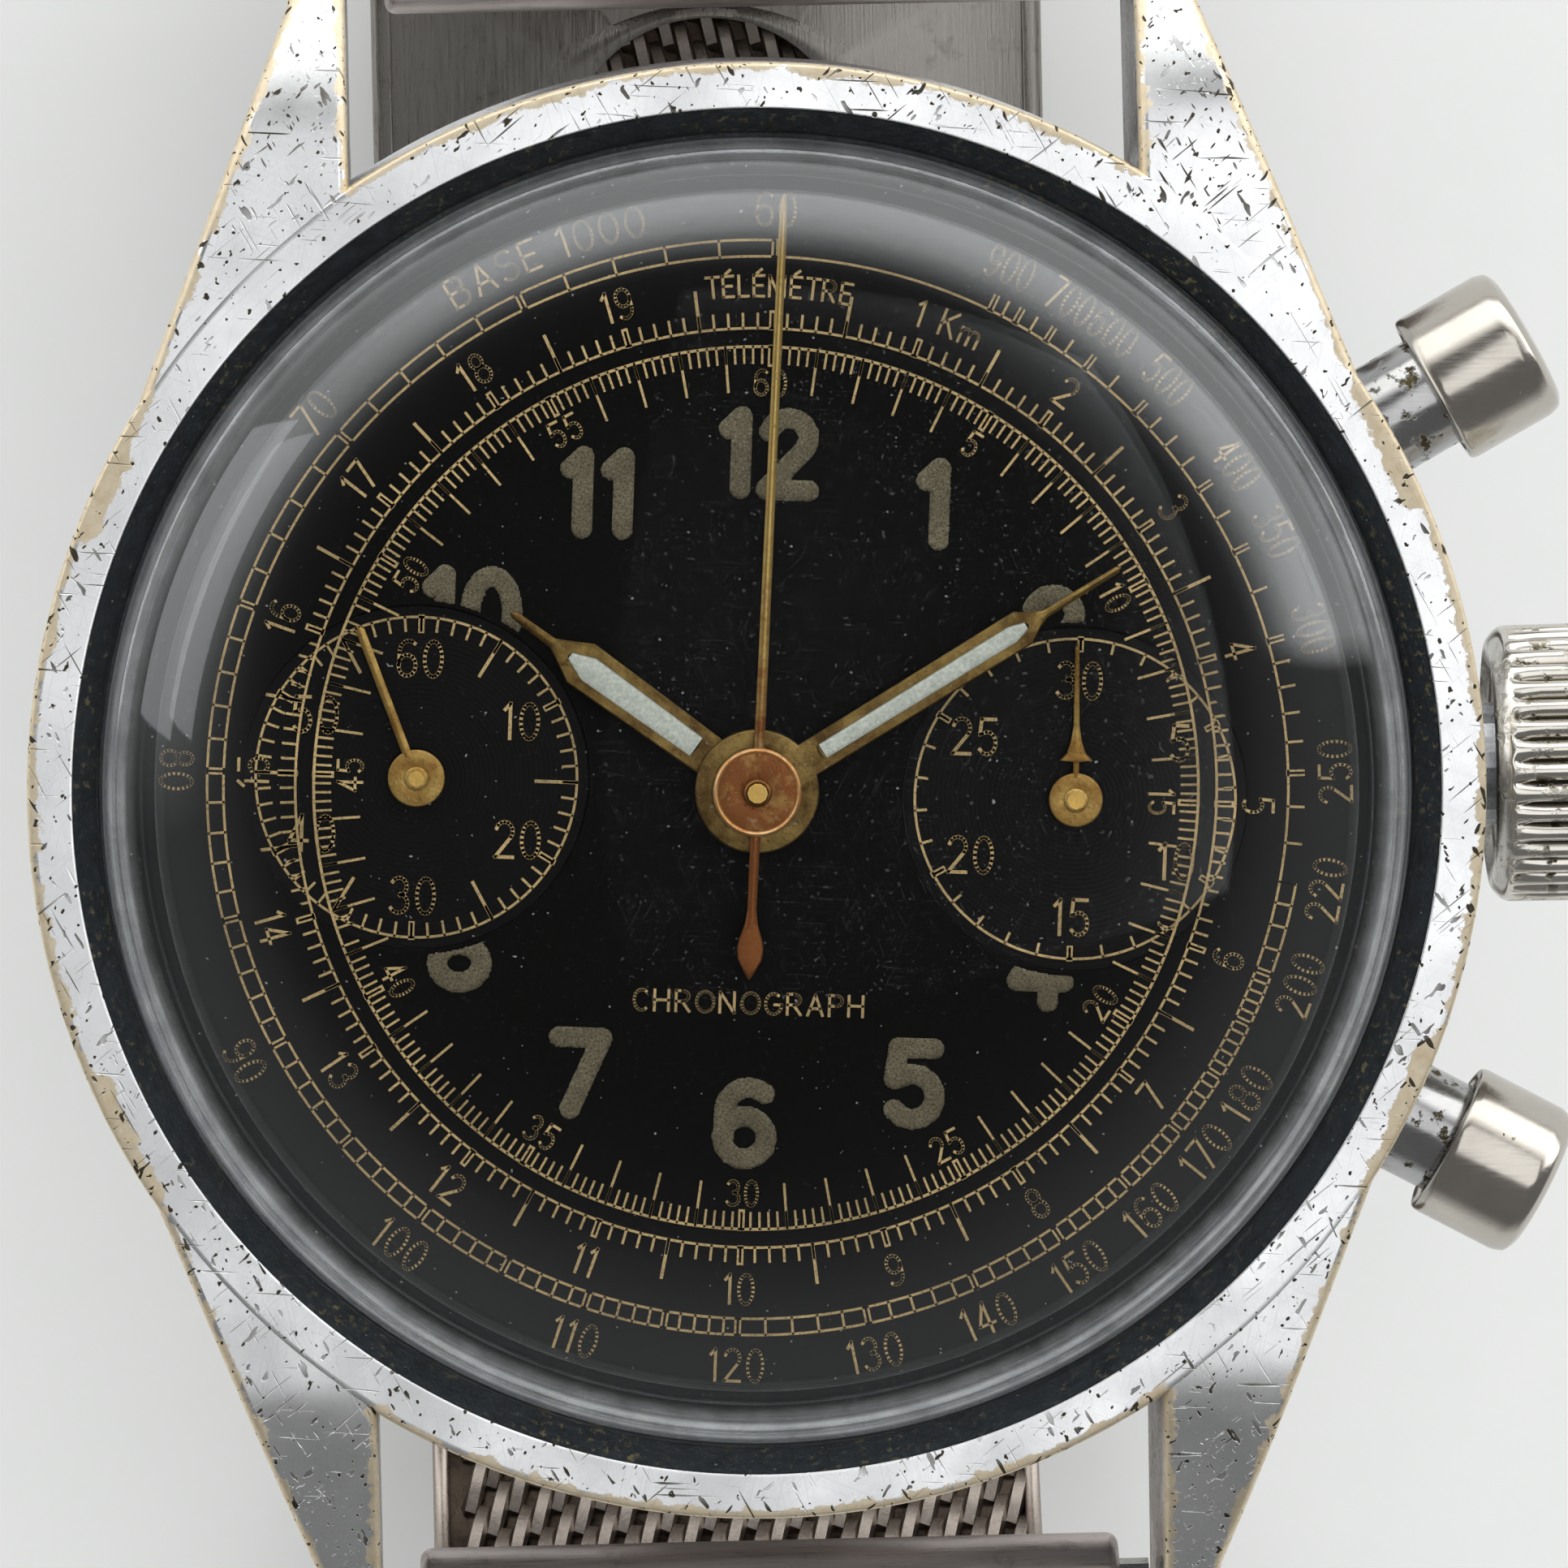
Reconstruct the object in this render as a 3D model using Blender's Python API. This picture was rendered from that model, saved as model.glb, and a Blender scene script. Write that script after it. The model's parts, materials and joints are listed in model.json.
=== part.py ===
"""Two-register wrist chronograph on a closed mesh bracelet, for Blender 4.5.

The frame is in metres: +Z out of the dial, +Y towards 12 o'clock, +X towards the crown. The origin is
on the hands' axis, in the plane that the bracelet's clasp stands on. Lengths below are millimetres.
"""

from math import atan2, cos, pi, radians, sin, sqrt

import bmesh
import bpy
from mathutils import Matrix, Vector

MM = 0.001

# Heights are measured from the case back's outer face, which is HEAD_Z above the clasp's underside.
HEAD_Z = 46.0
DIAL_TURN = -3.2  # degrees: the movement and its dial sit a little clockwise in the case
CASE_R = 17.75
CASE_TOP = 9.0
CASE_STEPS = 48
WELL_R = 15.0  # the bore that holds the movement
DIAL_SEAT_R = 15.6
CRYSTAL_R = 15.95
GROOVE_R = 16.64
LUG_INNER = 9.6
LUG_TIP_Y = 22.3
LUG_EDGE = 0.28
BAR_Y = 20.4  # spring bars
BAR_Z = 3.0
STEM_Z = 4.35  # crown and pushers share one height
PUSHER_ANGLE = 28.6

PLATE_R = 13.4
BRIDGE_LOW, BRIDGE_HIGH = 2.9, 3.5
PLATE_LOW, PLATE_HIGH = 5.2, 6.3
DIAL_LOW, DIAL_HIGH = 7.0, 7.4
CHRONO_LOW, CHRONO_HIGH = 2.3, 2.5
LEVER_LOW, LEVER_HIGH = 2.55, 2.8

SECONDS_AT = (-8.3, 0.0)
RECORDER_AT = (7.8, 0.0)
THIRD_AT = (-4.162, -2.68)
ESCAPE_AT = (-9.48, -3.242)
PALLET_AT = (-7.744, -5.308)
BALANCE_AT = (-5.49, -7.99)
BARREL_AT = (3.0, 5.196)
MINUTE_WHEEL_AT = (0.0, 3.2)
COUPLING_AT = (-5.425, 1.047)
COLUMN_AT = (6.18, 7.29)
CROWN_WHEEL_AT = (7.45, 3.35)
LEVER_PIVOT = (12.2, 2.3)  # the reset hammer's pivot is its mirror image
LEVER_TIP = {"operating_lever": (9.0, 8.6), "reset_hammer": (6.0, -9.0)}
SPRING_WIRE = ((-0.12, -0.12), (0.12, -0.12), (0.12, 0.12), (-0.12, 0.12))

BAND_HALF = 8.5
BAND_THICK = 1.4
CLASP_HALF = 9.3
CLASP_WALL = 0.55
PIN_Y, PIN_Z = 13.4, 0.6  # the clasp lever's hinge pin

STEEL, BRASS, GILT, NICKEL = "#c9cacd", "#b8924a", "#a8844c", "#b9b6ae"
STEEL_LOOK = (STEEL, 0.3, 1.0)


# ---------------------------------------------------------------- materials and objects


def linear(channel):
    return channel / 12.92 if channel <= 0.04045 else ((channel + 0.055) / 1.055) ** 2.4


def finish(name, colour, roughness, metallic, alpha=1.0):
    material = bpy.data.materials.new(name)
    material.use_nodes = True
    shader = material.node_tree.nodes["Principled BSDF"]
    rgb = [linear(int(colour[i : i + 2], 16) / 255) for i in (1, 3, 5)]
    shader.inputs["Base Color"].default_value = (*rgb, 1.0)
    shader.inputs["Roughness"].default_value = roughness
    shader.inputs["Metallic"].default_value = metallic
    shader.inputs["Alpha"].default_value = alpha
    return material


def empty(name, parent=None, at=(0, 0, 0), turn=0.0):
    holder = bpy.data.objects.new(name, None)
    bpy.context.collection.objects.link(holder)
    holder.parent = parent
    holder.location = Vector(at) * MM
    holder.rotation_euler = (0, 0, radians(turn))
    return holder


def node(name, shape, look, parent, at=(0, 0, 0), turn=(0, 0, 0)):
    """Puts a finished bmesh, drawn in millimetres, into the scene as one named object."""
    bmesh.ops.remove_doubles(shape, verts=shape.verts, dist=1e-5)
    bmesh.ops.recalc_face_normals(shape, faces=shape.faces)
    bmesh.ops.scale(shape, vec=(MM, MM, MM), verts=shape.verts)
    mesh = bpy.data.meshes.new(name)
    shape.to_mesh(mesh)
    shape.free()
    mesh.shade_smooth()
    mesh.set_sharp_from_angle(angle=radians(35))
    thing = bpy.data.objects.new(name, mesh)
    bpy.context.collection.objects.link(thing)
    thing.parent = parent
    thing.location = Vector(at) * MM
    thing.rotation_euler = [radians(angle) for angle in turn]
    mesh.materials.append(finish(name, *look))
    return thing


def combine(target, tool, operation):
    """Cuts one helper from an object, or joins it to the object; the helper is left out of the part."""
    tool.hide_render = True
    tool.display_type = "WIRE"
    modifier = target.modifiers.new(tool.name, "BOOLEAN")
    modifier.operation = operation
    modifier.solver = "EXACT"
    modifier.object = tool


def cut(target, tool):
    combine(target, tool, "DIFFERENCE")


def join(target, tool):
    combine(target, tool, "UNION")


# ---------------------------------------------------------------- outlines and solids


def circle(radius, count=16, at=(0, 0), phase=0.0):
    angles = [phase + 2 * pi * i / count for i in range(count)]
    return [(at[0] + radius * cos(a), at[1] + radius * sin(a)) for a in angles]


def gear(teeth, tip, root, phase=0.0):
    """A toothed rim as a zigzag: one root point and one tip point for each tooth, phase in teeth."""
    step = pi / teeth
    radii = (root, tip)
    return [
        (radii[i % 2] * cos((i + 2 * phase) * step), radii[i % 2] * sin((i + 2 * phase) * step))
        for i in range(2 * teeth)
    ]


def disc_band(radius, low, high, count=20):
    """The part of a disc between two horizontal chords."""
    a_low, a_high = (atan2(y, sqrt(radius**2 - y**2)) for y in (low, high))
    arc = [a_low + (a_high - a_low) * i / count for i in range(count + 1)]
    right = [(radius * cos(a), radius * sin(a)) for a in arc]
    return right + [(-x, y) for x, y in reversed(right)]


def rounded_bar(ends, width, steps=6):
    """A straight bar between two points with round ends."""
    (x0, y0), (x1, y1) = ends
    along = atan2(y1 - y0, x1 - x0)
    points = []
    for (x, y), start in (((x1, y1), along - pi / 2), ((x0, y0), along + pi / 2)):
        for i in range(steps + 1):
            angle = start + pi * i / steps
            points.append((x + width / 2 * cos(angle), y + width / 2 * sin(angle)))
    return points


def edges_at(shape, loop, z):
    """One closed loop of edges at a height."""
    verts = [shape.verts.new((x, y, z)) for x, y in loop]
    edges = [shape.edges.new((verts[i - 1], verts[i])) for i in range(len(verts))]
    return verts, edges


def wall(shape, low, high):
    for i in range(len(low)):
        shape.faces.new((low[i - 1], low[i], high[i], high[i - 1]))


def stack(levels, holes=()):
    """A pile of outlines, each (outline, top height) after a bottom height; every outline is inside or
    outside the next all round. Each hole runs through the whole pile."""
    shape = bmesh.new()
    bottom, *rest = levels
    rings, height = [], bottom
    for outline, top in rest:
        rings.append((edges_at(shape, outline, height), edges_at(shape, outline, top)))
        height = top
    through = [(edges_at(shape, hole, bottom), edges_at(shape, hole, height)) for hole in holes]
    for low, high in rings + through:
        wall(shape, low[0], high[0])
    floors = [[rings[0][0][1]] + [low[1] for low, high in through]]
    floors += [[rings[i][1][1], rings[i + 1][0][1]] for i in range(len(rings) - 1)]
    floors += [[rings[-1][1][1]] + [high[1] for low, high in through]]
    for loops in floors:
        bmesh.ops.triangle_fill(shape, edges=sum(loops, []), use_beauty=True)
    return shape


def slab(outline, low, high, holes=()):
    return stack([low, (outline, high)], holes)


def turned(profile, steps=32):
    """A closed (radius, height) profile turned all the way round Z."""
    shape = bmesh.new()
    rings = []
    for i in range(steps):
        angle = 2 * pi * i / steps
        rings.append([shape.verts.new((r * cos(angle), r * sin(angle), z)) for r, z in profile])
    for i in range(steps):
        for j in range(len(profile)):
            quad = (rings[i - 1][j - 1], rings[i - 1][j], rings[i][j], rings[i][j - 1])
            if profile[j - 1][0] or profile[j][0]:
                shape.faces.new(quad)
    bmesh.ops.remove_doubles(shape, verts=shape.verts, dist=1e-5)
    bmesh.ops.dissolve_degenerate(shape, dist=1e-6, edges=shape.edges)
    return shape


def tube(outer, inner, low, high, steps=24):
    return turned([(inner, low), (outer, low), (outer, high), (inner, high)], steps)


def rod(radius, low, high, steps=16):
    return turned([(0, low), (radius, low), (radius, high), (0, high)], steps)


def box(low, high):
    shape = bmesh.new()
    bmesh.ops.create_cube(shape, size=1.0)
    size = [h - l for l, h in zip(low, high)]
    middle = [(l + h) / 2 for l, h in zip(low, high)]
    bmesh.ops.transform(
        shape, matrix=Matrix.Translation(middle) @ Matrix.Diagonal((*size, 1)), verts=shape.verts
    )
    return shape


def loft(sections):
    """A solid through a row of cross-sections with equal point counts, closed at both ends."""
    shape = bmesh.new()
    rows = [[shape.verts.new(point) for point in section] for section in sections]
    for near, far in zip(rows, rows[1:]):
        wall(shape, near, far)
    shape.faces.new(rows[0])
    shape.faces.new(rows[-1])
    return shape


def across(outline, half, holes=()):
    """An outline in the Y-Z plane, extruded from -half to +half along X."""
    shape = slab(outline, -half, half, holes)
    turn = Matrix(((0, 0, 1, 0), (1, 0, 0, 0), (0, 1, 0, 0), (0, 0, 0, 1)))
    bmesh.ops.transform(shape, matrix=turn, verts=shape.verts)
    return shape


def hand_outline(hub, blade, tail=()):
    """A hand that points along +Y: a round hub, then (distance, half width) pairs out to the tip."""
    half = blade[0][1]
    lift = sqrt(hub**2 - half**2)
    right = [(w, y) for y, w in blade if y > lift]
    left = [(-x, y) for x, y in reversed(right) if x]
    start, end = atan2(lift, -half), 2 * pi + atan2(lift, half)
    if not tail:
        arc = [start + (end - start) * i / 16 for i in range(17)]
        return right + left + [(hub * cos(a), hub * sin(a)) for a in arc]
    drop = sqrt(hub**2 - tail[0][1] ** 2)
    stop = 2 * pi + atan2(-drop, -tail[0][1])
    arc = [start + (stop - start) * i / 6 for i in range(7)]
    side = [(hub * cos(a), hub * sin(a)) for a in arc]
    down = [(-w, -y) for y, w in tail]
    up = [(-x, y) for x, y in reversed(down) if x]
    return right + left + side + down + up + [(-x, y) for x, y in reversed(side)]


# ---------------------------------------------------------------- case


def lug_flank(y):
    """Distance of a lug's outer flank from the middle line: straight, then nearly parallel at the tip."""
    return 11.0 + (0.4 * (19.3 - y) if y < 19.3 else 0.12 * (19.3 - y))


def lug_sections(side, end):
    """Cross-sections of one lug from inside the case ring to its tip; side and end are -1 or 1."""
    sections = []
    for y in (10.0, 14.0, 15.5, 17.0, 18.2, 19.3, 20.4, 21.5, 22.0, LUG_TIP_Y):
        outer = lug_flank(y)
        fall = max(0.0, (y - 14.0) / 8.3)
        top = CASE_TOP - 0.01 - 3.6 * fall**2
        low = 2.0 - 1.5 * max(0.0, (y - 10.0) / 12.3)
        if y == LUG_TIP_Y:
            top, low, outer = top - 0.5, low + 0.5, outer - 0.15
        ring = [
            (LUG_INNER, low),
            (outer, low + 0.5),
            (outer, top - LUG_EDGE),
            (outer - LUG_EDGE, top),
            (LUG_INNER, top),
        ]
        sections.append([(side * x, end * y, z) for x, z in ring])
    return sections


def make_case(head):
    profile = [
        (WELL_R, 1.6),
        (17.0, 1.6),
        (17.55, 2.2),
        (CASE_R, 3.2),
        (CASE_R, 8.72),
        (CASE_R - 0.28, CASE_TOP),
        (GROOVE_R, CASE_TOP),
        (CRYSTAL_R + 0.06, 8.2),
        (CRYSTAL_R + 0.06, 7.58),
        (DIAL_SEAT_R, 7.58),
        (DIAL_SEAT_R, 6.95),
        (WELL_R, 6.95),
    ]
    look = (STEEL, 0.2, 1.0)
    case = node("case_middle", turned(profile, CASE_STEPS), look, head)
    for side in (-1, 1):
        for end in (-1, 1):
            name = f"lug_{'right' if side > 0 else 'left'}_{'12' if end > 0 else '6'}"
            join(case, node(name, loft(lug_sections(side, end)), look, head))
    # the movement well is opened again where the lugs ran into it
    cut(case, node("well", rod(WELL_R, 1.0, 6.95, CASE_STEPS), look, head))
    cut(case, node("dial_well", rod(DIAL_SEAT_R, 6.9, 7.58, CASE_STEPS), look, head))
    mouth = [(0, 7.5), (CRYSTAL_R + 0.06, 7.5), (CRYSTAL_R + 0.06, 8.2), (GROOVE_R, CASE_TOP)]
    mouth += [(GROOVE_R + 0.4, CASE_TOP + 0.5), (0, CASE_TOP + 0.5)]
    cut(case, node("crystal_well", turned(mouth, CASE_STEPS), look, head))
    for end in (-1, 1):
        name = f"spring_bar_hole_{'12' if end > 0 else '6'}"
        hole = node(name, rod(0.5, -10.7, 10.7), look, head, (0, end * BAR_Y, BAR_Z), (0, 90, 0))
        cut(case, hole)
    for name, angle in (("crown", 0), ("upper", PUSHER_ANGLE), ("lower", -PUSHER_ANGLE)):
        tool = node(f"{name}_hole", rod(1.6, 13, 20), look, head, (0, 0, STEM_Z), (0, 90, angle))
        cut(case, tool)
    back = [(0, 0), (13.2, 0), (14.9, 0.45), (14.9, 1.5), (0, 1.5)]
    back_look = (STEEL, 0.28, 1.0)
    node("case_back", turned(back, 36), back_look, head)
    ring = node("casing_ring", tube(14.9, 13.6, 1.6, 6.9, 32), (BRASS, 0.4, 1.0), head)
    for name, angle in (("crown", 0), ("upper", PUSHER_ANGLE), ("lower", -PUSHER_ANGLE)):
        tool = node(f"{name}_way", rod(1.2, 12, 16), look, head, (0, 0, STEM_Z), (0, 90, angle))
        cut(ring, tool)
    # room for the setting lever's 0.8 mm travel
    cut(ring, node("setting_way", box((13.0, -0.9, 3.45), (14.1, 3.2, 5.15)), STEEL_LOOK, head))


def crystal_profile():
    """A domed shell: outer and inner face are superellipses of the radius, on a short straight foot."""

    def dome(radius, base, rise, count):
        points = []
        for i in range(count):
            part = cos(i / (count - 1) * pi / 2)
            lift = (1 - part**2.4) ** (1 / 2.4)
            points.append((radius * part if i < count - 1 else 0.0, base + rise * lift))
        return points

    outer = dome(CRYSTAL_R, 8.3, 3.9, 7)
    inner = dome(15.05, 8.1, 3.15, 6)
    return [(15.05, 7.63), (CRYSTAL_R, 7.63)] + outer + inner[::-1]


def make_dial(head, movement):
    node("crystal", turned(crystal_profile(), 30), ("#eef1f2", 0.05, 0.0, 0.2), head)
    holes = [circle(1.2, 24), circle(0.45, 12, SECONDS_AT), circle(0.45, 12, RECORDER_AT)]
    face = slab(circle(15.45, 60), DIAL_LOW, DIAL_HIGH, holes)
    dial = node("dial", face, ("#0b0b0a", 0.45, 0.0), movement)
    for name, at in (("seconds", SECONDS_AT), ("recorder", RECORDER_AT)):
        tool = node(f"{name}_sink", rod(4.2, 7.25, 7.8, 30), STEEL_LOOK, movement, (*at, 0))
        cut(dial, tool)


# ---------------------------------------------------------------- plates and bridges


def make_plates(head, movement):
    brass = (GILT, 0.35, 1.0)
    pivots = {
        "main_plate": [
            circle(0.8, 16),
            circle(0.25, 8, THIRD_AT),
            circle(0.45, 8, SECONDS_AT),
            circle(0.25, 8, ESCAPE_AT),
            circle(0.25, 8, PALLET_AT),
            circle(0.25, 8, BALANCE_AT),
            circle(0.7, 12, BARREL_AT),
            circle(0.45, 8, RECORDER_AT),
            circle(0.25, 8, MINUTE_WHEEL_AT),
        ],
        "barrel_bridge": [circle(0.7, 12, BARREL_AT), circle(0.3, 8, COLUMN_AT)],
        "train_bridge": [
            circle(0.7, 12),
            circle(0.25, 8, THIRD_AT),
            circle(0.45, 8, SECONDS_AT),
            circle(0.25, 8, ESCAPE_AT),
            circle(0.25, 8, PALLET_AT),
            circle(0.45, 8, RECORDER_AT),
        ],
        "balance_cock": [circle(0.25, 8, BALANCE_AT)],
    }
    plate = slab(circle(13.45, 48), PLATE_LOW, PLATE_HIGH, pivots["main_plate"])
    plates = {"main_plate": node("main_plate", plate, brass, movement)}
    bands = {"barrel_bridge": (1.0, 13.0), "train_bridge": (-6.2, 0.8), "balance_cock": (-13.0, -6.4)}
    posts = {
        "barrel_bridge": [(-9.4, 7.6), (11.9, 3.6)],
        "train_bridge": [(-12.3, -1.6), (8.0, -5.0)],
        "balance_cock": [(-10.6, -7.4), (2.0, -11.4)],
    }
    for name, (low, high) in bands.items():
        outline = disc_band(PLATE_R, low, high, 12)
        shape = slab(outline, BRIDGE_LOW, BRIDGE_HIGH, pivots[name])
        plates[name] = node(name, shape, brass, movement)
        for number, at in enumerate(posts[name]):
            foot = node(f"{name}_foot_{number}", rod(0.6, 3.2, 5.15, 10), brass, movement, (*at, 0))
            join(plates[name], foot)
    # the winding pinion turns in a pocket that runs through plate and bridges
    pocket = node("winding_pocket", box((10.2, -1.75, 2.7), (11.7, 1.75, 6.6)), brass, head)
    stem_way = node("stem_way", box((8.7, -0.75, 3.3), (14.0, 0.75, 5.3)), brass, head)
    cut(plates["main_plate"], pocket)
    cut(plates["main_plate"], stem_way)
    for name in ("barrel_bridge", "train_bridge"):
        cut(plates[name], pocket)
        cut(plates[name], stem_way)
    for name, angle, bridge in (
        ("upper", PUSHER_ANGLE, "barrel_bridge"),
        ("lower", -PUSHER_ANGLE, "train_bridge"),
    ):
        place = (12.15 * cos(radians(angle)), 12.15 * sin(radians(angle)), 0)
        way = node(f"{name}_lever_way", rod(1.15, 2.6, 5.1, 16), brass, head, place)
        cut(plates[bridge], way)
    bridge = slab(
        rounded_bar(((0, 0), RECORDER_AT), 3.0), 1.65, 2.1, [circle(0.3, 8), circle(0.3, 8, RECORDER_AT)]
    )
    node("chronograph_bridge", bridge, brass, movement)


# ---------------------------------------------------------------- going train


def make_train(movement):
    steel, brass = (NICKEL, 0.3, 1.0), (BRASS, 0.35, 1.0)
    bore = circle(0.32, 12)
    centre = [
        3.55,
        (gear(8, 0.82, 0.62), 4.3),
        (circle(0.45, 12), 4.9),
        (gear(48, 4.47, 4.27), 5.1),
        (circle(0.45, 12), 8.4),
    ]
    node("centre_wheel", stack(centre, [bore]), brass, movement)
    cannon = [6.35, (gear(12, 0.87, 0.75), 6.58), (circle(0.72, 16), 8.45)]
    node("cannon_pinion", stack(cannon, [circle(0.48, 12)]), steel, movement)
    hour = [6.64, (gear(40, 2.58, 2.46), 6.86), (circle(1.02, 16), 8.1)]
    node("hour_wheel", stack(hour, [circle(0.76, 12)]), brass, movement)
    minute = [
        5.9,
        (circle(0.18, 8), 6.35),
        (gear(36, 2.45, 2.3, 0.5), 6.58),
        (gear(10, 0.66, 0.52, 0.5), 6.86),
    ]
    node("minute_wheel", stack(minute), brass, movement, (*MINUTE_WHEEL_AT, 0))
    third = [
        3.0,
        (circle(0.18, 8), 3.6),
        (circle(0.3, 8), 4.5),
        (gear(45, 4.42, 4.22), 4.7),
        (circle(0.3, 8), 4.85),
        (gear(6, 0.62, 0.42, 0.5), 5.12),
        (circle(0.18, 8), 5.8),
    ]
    node("third_wheel", stack(third), brass, movement, (*THIRD_AT, 0))
    fourth = [
        1.9,
        (circle(0.2, 8), 2.3),
        (gear(22, 2.2, 2.05), 2.5),
        (circle(0.3, 8), 3.9),
        (gear(40, 3.0, 2.86), 4.1),
        (circle(0.3, 8), 4.42),
        (gear(6, 0.65, 0.45, 0.5), 4.78),
        (circle(0.2, 8), 7.85),
    ]
    node("fourth_wheel", stack(fourth), brass, movement, (*SECONDS_AT, 0))
    escape = [
        3.0,
        (circle(0.18, 8), 3.8),
        (gear(6, 0.5, 0.34), 4.2),
        (circle(0.2, 8), 4.85),
        (gear(15, 2.0, 1.5), 5.0),
        (circle(0.18, 8), 5.8),
    ]
    node("escape_wheel", stack(escape), steel, movement, (*ESCAPE_AT, 0))
    drum = [
        (0.75, 3.62),
        (5.05, 3.62),
        (5.05, 4.78),
        (0.75, 4.78),
        (0.75, 4.64),
        (4.85, 4.64),
        (4.85, 3.76),
        (0.75, 3.76),
    ]
    barrel = node("barrel", turned(drum, 24), brass, movement, (*BARREL_AT, 0))
    rim = slab(gear(56, 5.31, 5.15), 3.7, 3.95, [circle(4.93, 24)])
    join(barrel, node("barrel_teeth", rim, brass, movement, (*BARREL_AT, 0)))
    node("barrel_arbor", rod(0.55, 2.2, 5.9, 12), steel, movement, (*BARREL_AT, 0))
    node("mainspring", spiral(0.8, 4.5, 4, 0.16, 3.85, 4.55), steel, movement, (*BARREL_AT, 0))
    ratchet = slab(gear(26, 2.6, 2.35), LEVER_LOW, LEVER_HIGH, [circle(0.6, 12)])
    node("ratchet_wheel", ratchet, steel, movement, (*BARREL_AT, 0))
    click = slab(rounded_bar(((0.42, 7.0), (-1.2, 8.8)), 0.8), LEVER_LOW, LEVER_HIGH)
    node("click", click, steel, movement)


def spiral(inner, outer, turns, thick, low, high, per_turn=12):
    """A flat spiral ribbon whose radius grows evenly with its angle."""
    count = turns * per_turn
    rise = [(inner + (outer - inner) * i / count, 2 * pi * i / per_turn) for i in range(count + 1)]
    near = [(r * cos(a), r * sin(a)) for r, a in rise]
    far = [((r + thick) * cos(a), (r + thick) * sin(a)) for r, a in rise]
    sections = [
        [(*n, low), (*f, low), (*f, high), (*n, high)] for n, f in zip(near, far)
    ]
    return loft(sections)


def make_escapement(movement):
    steel, brass = (NICKEL, 0.3, 1.0), (GILT, 0.35, 1.0)
    toward = atan2(PALLET_AT[1] - ESCAPE_AT[1], PALLET_AT[0] - ESCAPE_AT[0])
    fork = [(2.75, -0.25), (2.75, 0.25), (0.4, 0.3), (0.15, 1.7), (-0.6, 2.05), (-0.75, 1.8)]
    fork += [(-0.25, 1.5), (-0.35, 0.25)]
    fork += [(x, -y) for x, y in reversed(fork[2:])]
    arbor = circle(0.16, 8)
    lever = stack([3.0, (arbor, 4.85), (fork, 5.0), (arbor, 5.8)])
    turn = (0, 0, toward * 180 / pi)
    node("pallet_fork", lever, steel, movement, (*PALLET_AT, 0), turn)
    wheel = [3.0, (circle(0.18, 8), 3.65), (circle(3.2, 36), 3.85), (circle(0.25, 8), 4.6)]
    wheel += [(circle(0.5, 12), 4.75), (circle(0.18, 8), 5.8)]
    balance = node("balance_wheel", stack(wheel), brass, movement, (*BALANCE_AT, 0))
    for number in range(2):
        gap = disc_band(2.75, 0.3, 2.6, 8)
        tool = slab(gap, 3.5, 3.95)
        place, turn = (*BALANCE_AT, 0), (0, 0, 180 * number)
        cut(balance, node(f"balance_crossing_{number}", tool, brass, movement, place, turn))
    node("hairspring", spiral(0.32, 1.6, 3, 0.06, 4.0, 4.15), steel, movement, (*BALANCE_AT, 0))


# ---------------------------------------------------------------- keyless work and chronograph work


def make_keyless(head, movement):
    steel = (NICKEL, 0.3, 1.0)
    along = dict(parent=head, at=(0, 0, STEM_Z), turn=(0, 90, 0))
    node("crown_tube", tube(1.5, 0.85, 15.05, 18.35), (STEEL, 0.3, 1.0), **along)
    flutes = 24
    rim = [
        ((3.4 if i % 2 else 3.22) * cos(pi * i / flutes), (3.4 if i % 2 else 3.22) * sin(pi * i / flutes))
        for i in range(2 * flutes)
    ]
    inner, face = circle(3.05, 2 * flutes), circle(2.4, 2 * flutes)
    knob = stack([18.45, (inner, 18.7), (rim, 21.3), (inner, 21.7), (face, 22.0)])
    node("crown", knob, (STEEL, 0.25, 1.0), **along)
    neck = [(0, 9.3), (0.42, 9.3), (0.42, 12.6), (0.3, 12.6), (0.3, 13.0), (0.6, 13.0)]
    neck += [(0.6, 18.43), (0, 18.43)]
    node("winding_stem", turned(neck, 12), steel, **along)
    pinion = slab(gear(14, 1.45, 1.2), 10.45, 11.45, [circle(0.5, 12)])
    node("winding_pinion", pinion, steel, **along)
    setting = slab(rounded_bar(((0, 0.75), (0, 2.2)), 0.7), 12.68, 12.92)
    node("setting_lever", setting, steel, **along)
    wheel = slab(gear(20, 2.1, 1.85), LEVER_LOW, LEVER_HIGH, [circle(0.4, 8)])
    node("crown_wheel", wheel, steel, movement, (*CROWN_WHEEL_AT, 0))


def make_pushers(head):
    steel = (NICKEL, 0.3, 1.0)
    for name, angle in (("upper", PUSHER_ANGLE), ("lower", -PUSHER_ANGLE)):
        along = dict(parent=head, at=(0, 0, STEM_Z), turn=(0, 90, angle))
        node(f"pusher_tube_{name}", tube(1.42, 1.1, 15.05, 19.95, 20), (NICKEL, 0.4, 1.0), **along)
        cap = [(0, 13.1), (0.5, 13.1), (0.5, 20.95), (1.6, 20.95), (1.6, 19.4), (1.75, 19.25)]
        cap += [(1.95, 19.45), (1.95, 21.4), (1.7, 21.75), (0.9, 21.95), (0, 22.0)]
        node(f"pusher_{name}", turned(cap, 20), (NICKEL, 0.22, 1.0), **along)
        coil = []
        for i in range(4 * 8 + 1):
            a, z = 2 * pi * i / 8, 16.2 + 2.4 * i / 32
            coil.append([((0.8 + dr) * cos(a), (0.8 + dr) * sin(a), z + dz) for dr, dz in SPRING_WIRE])
        node(f"pusher_spring_{name}", loft(coil), steel, **along)


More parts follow.
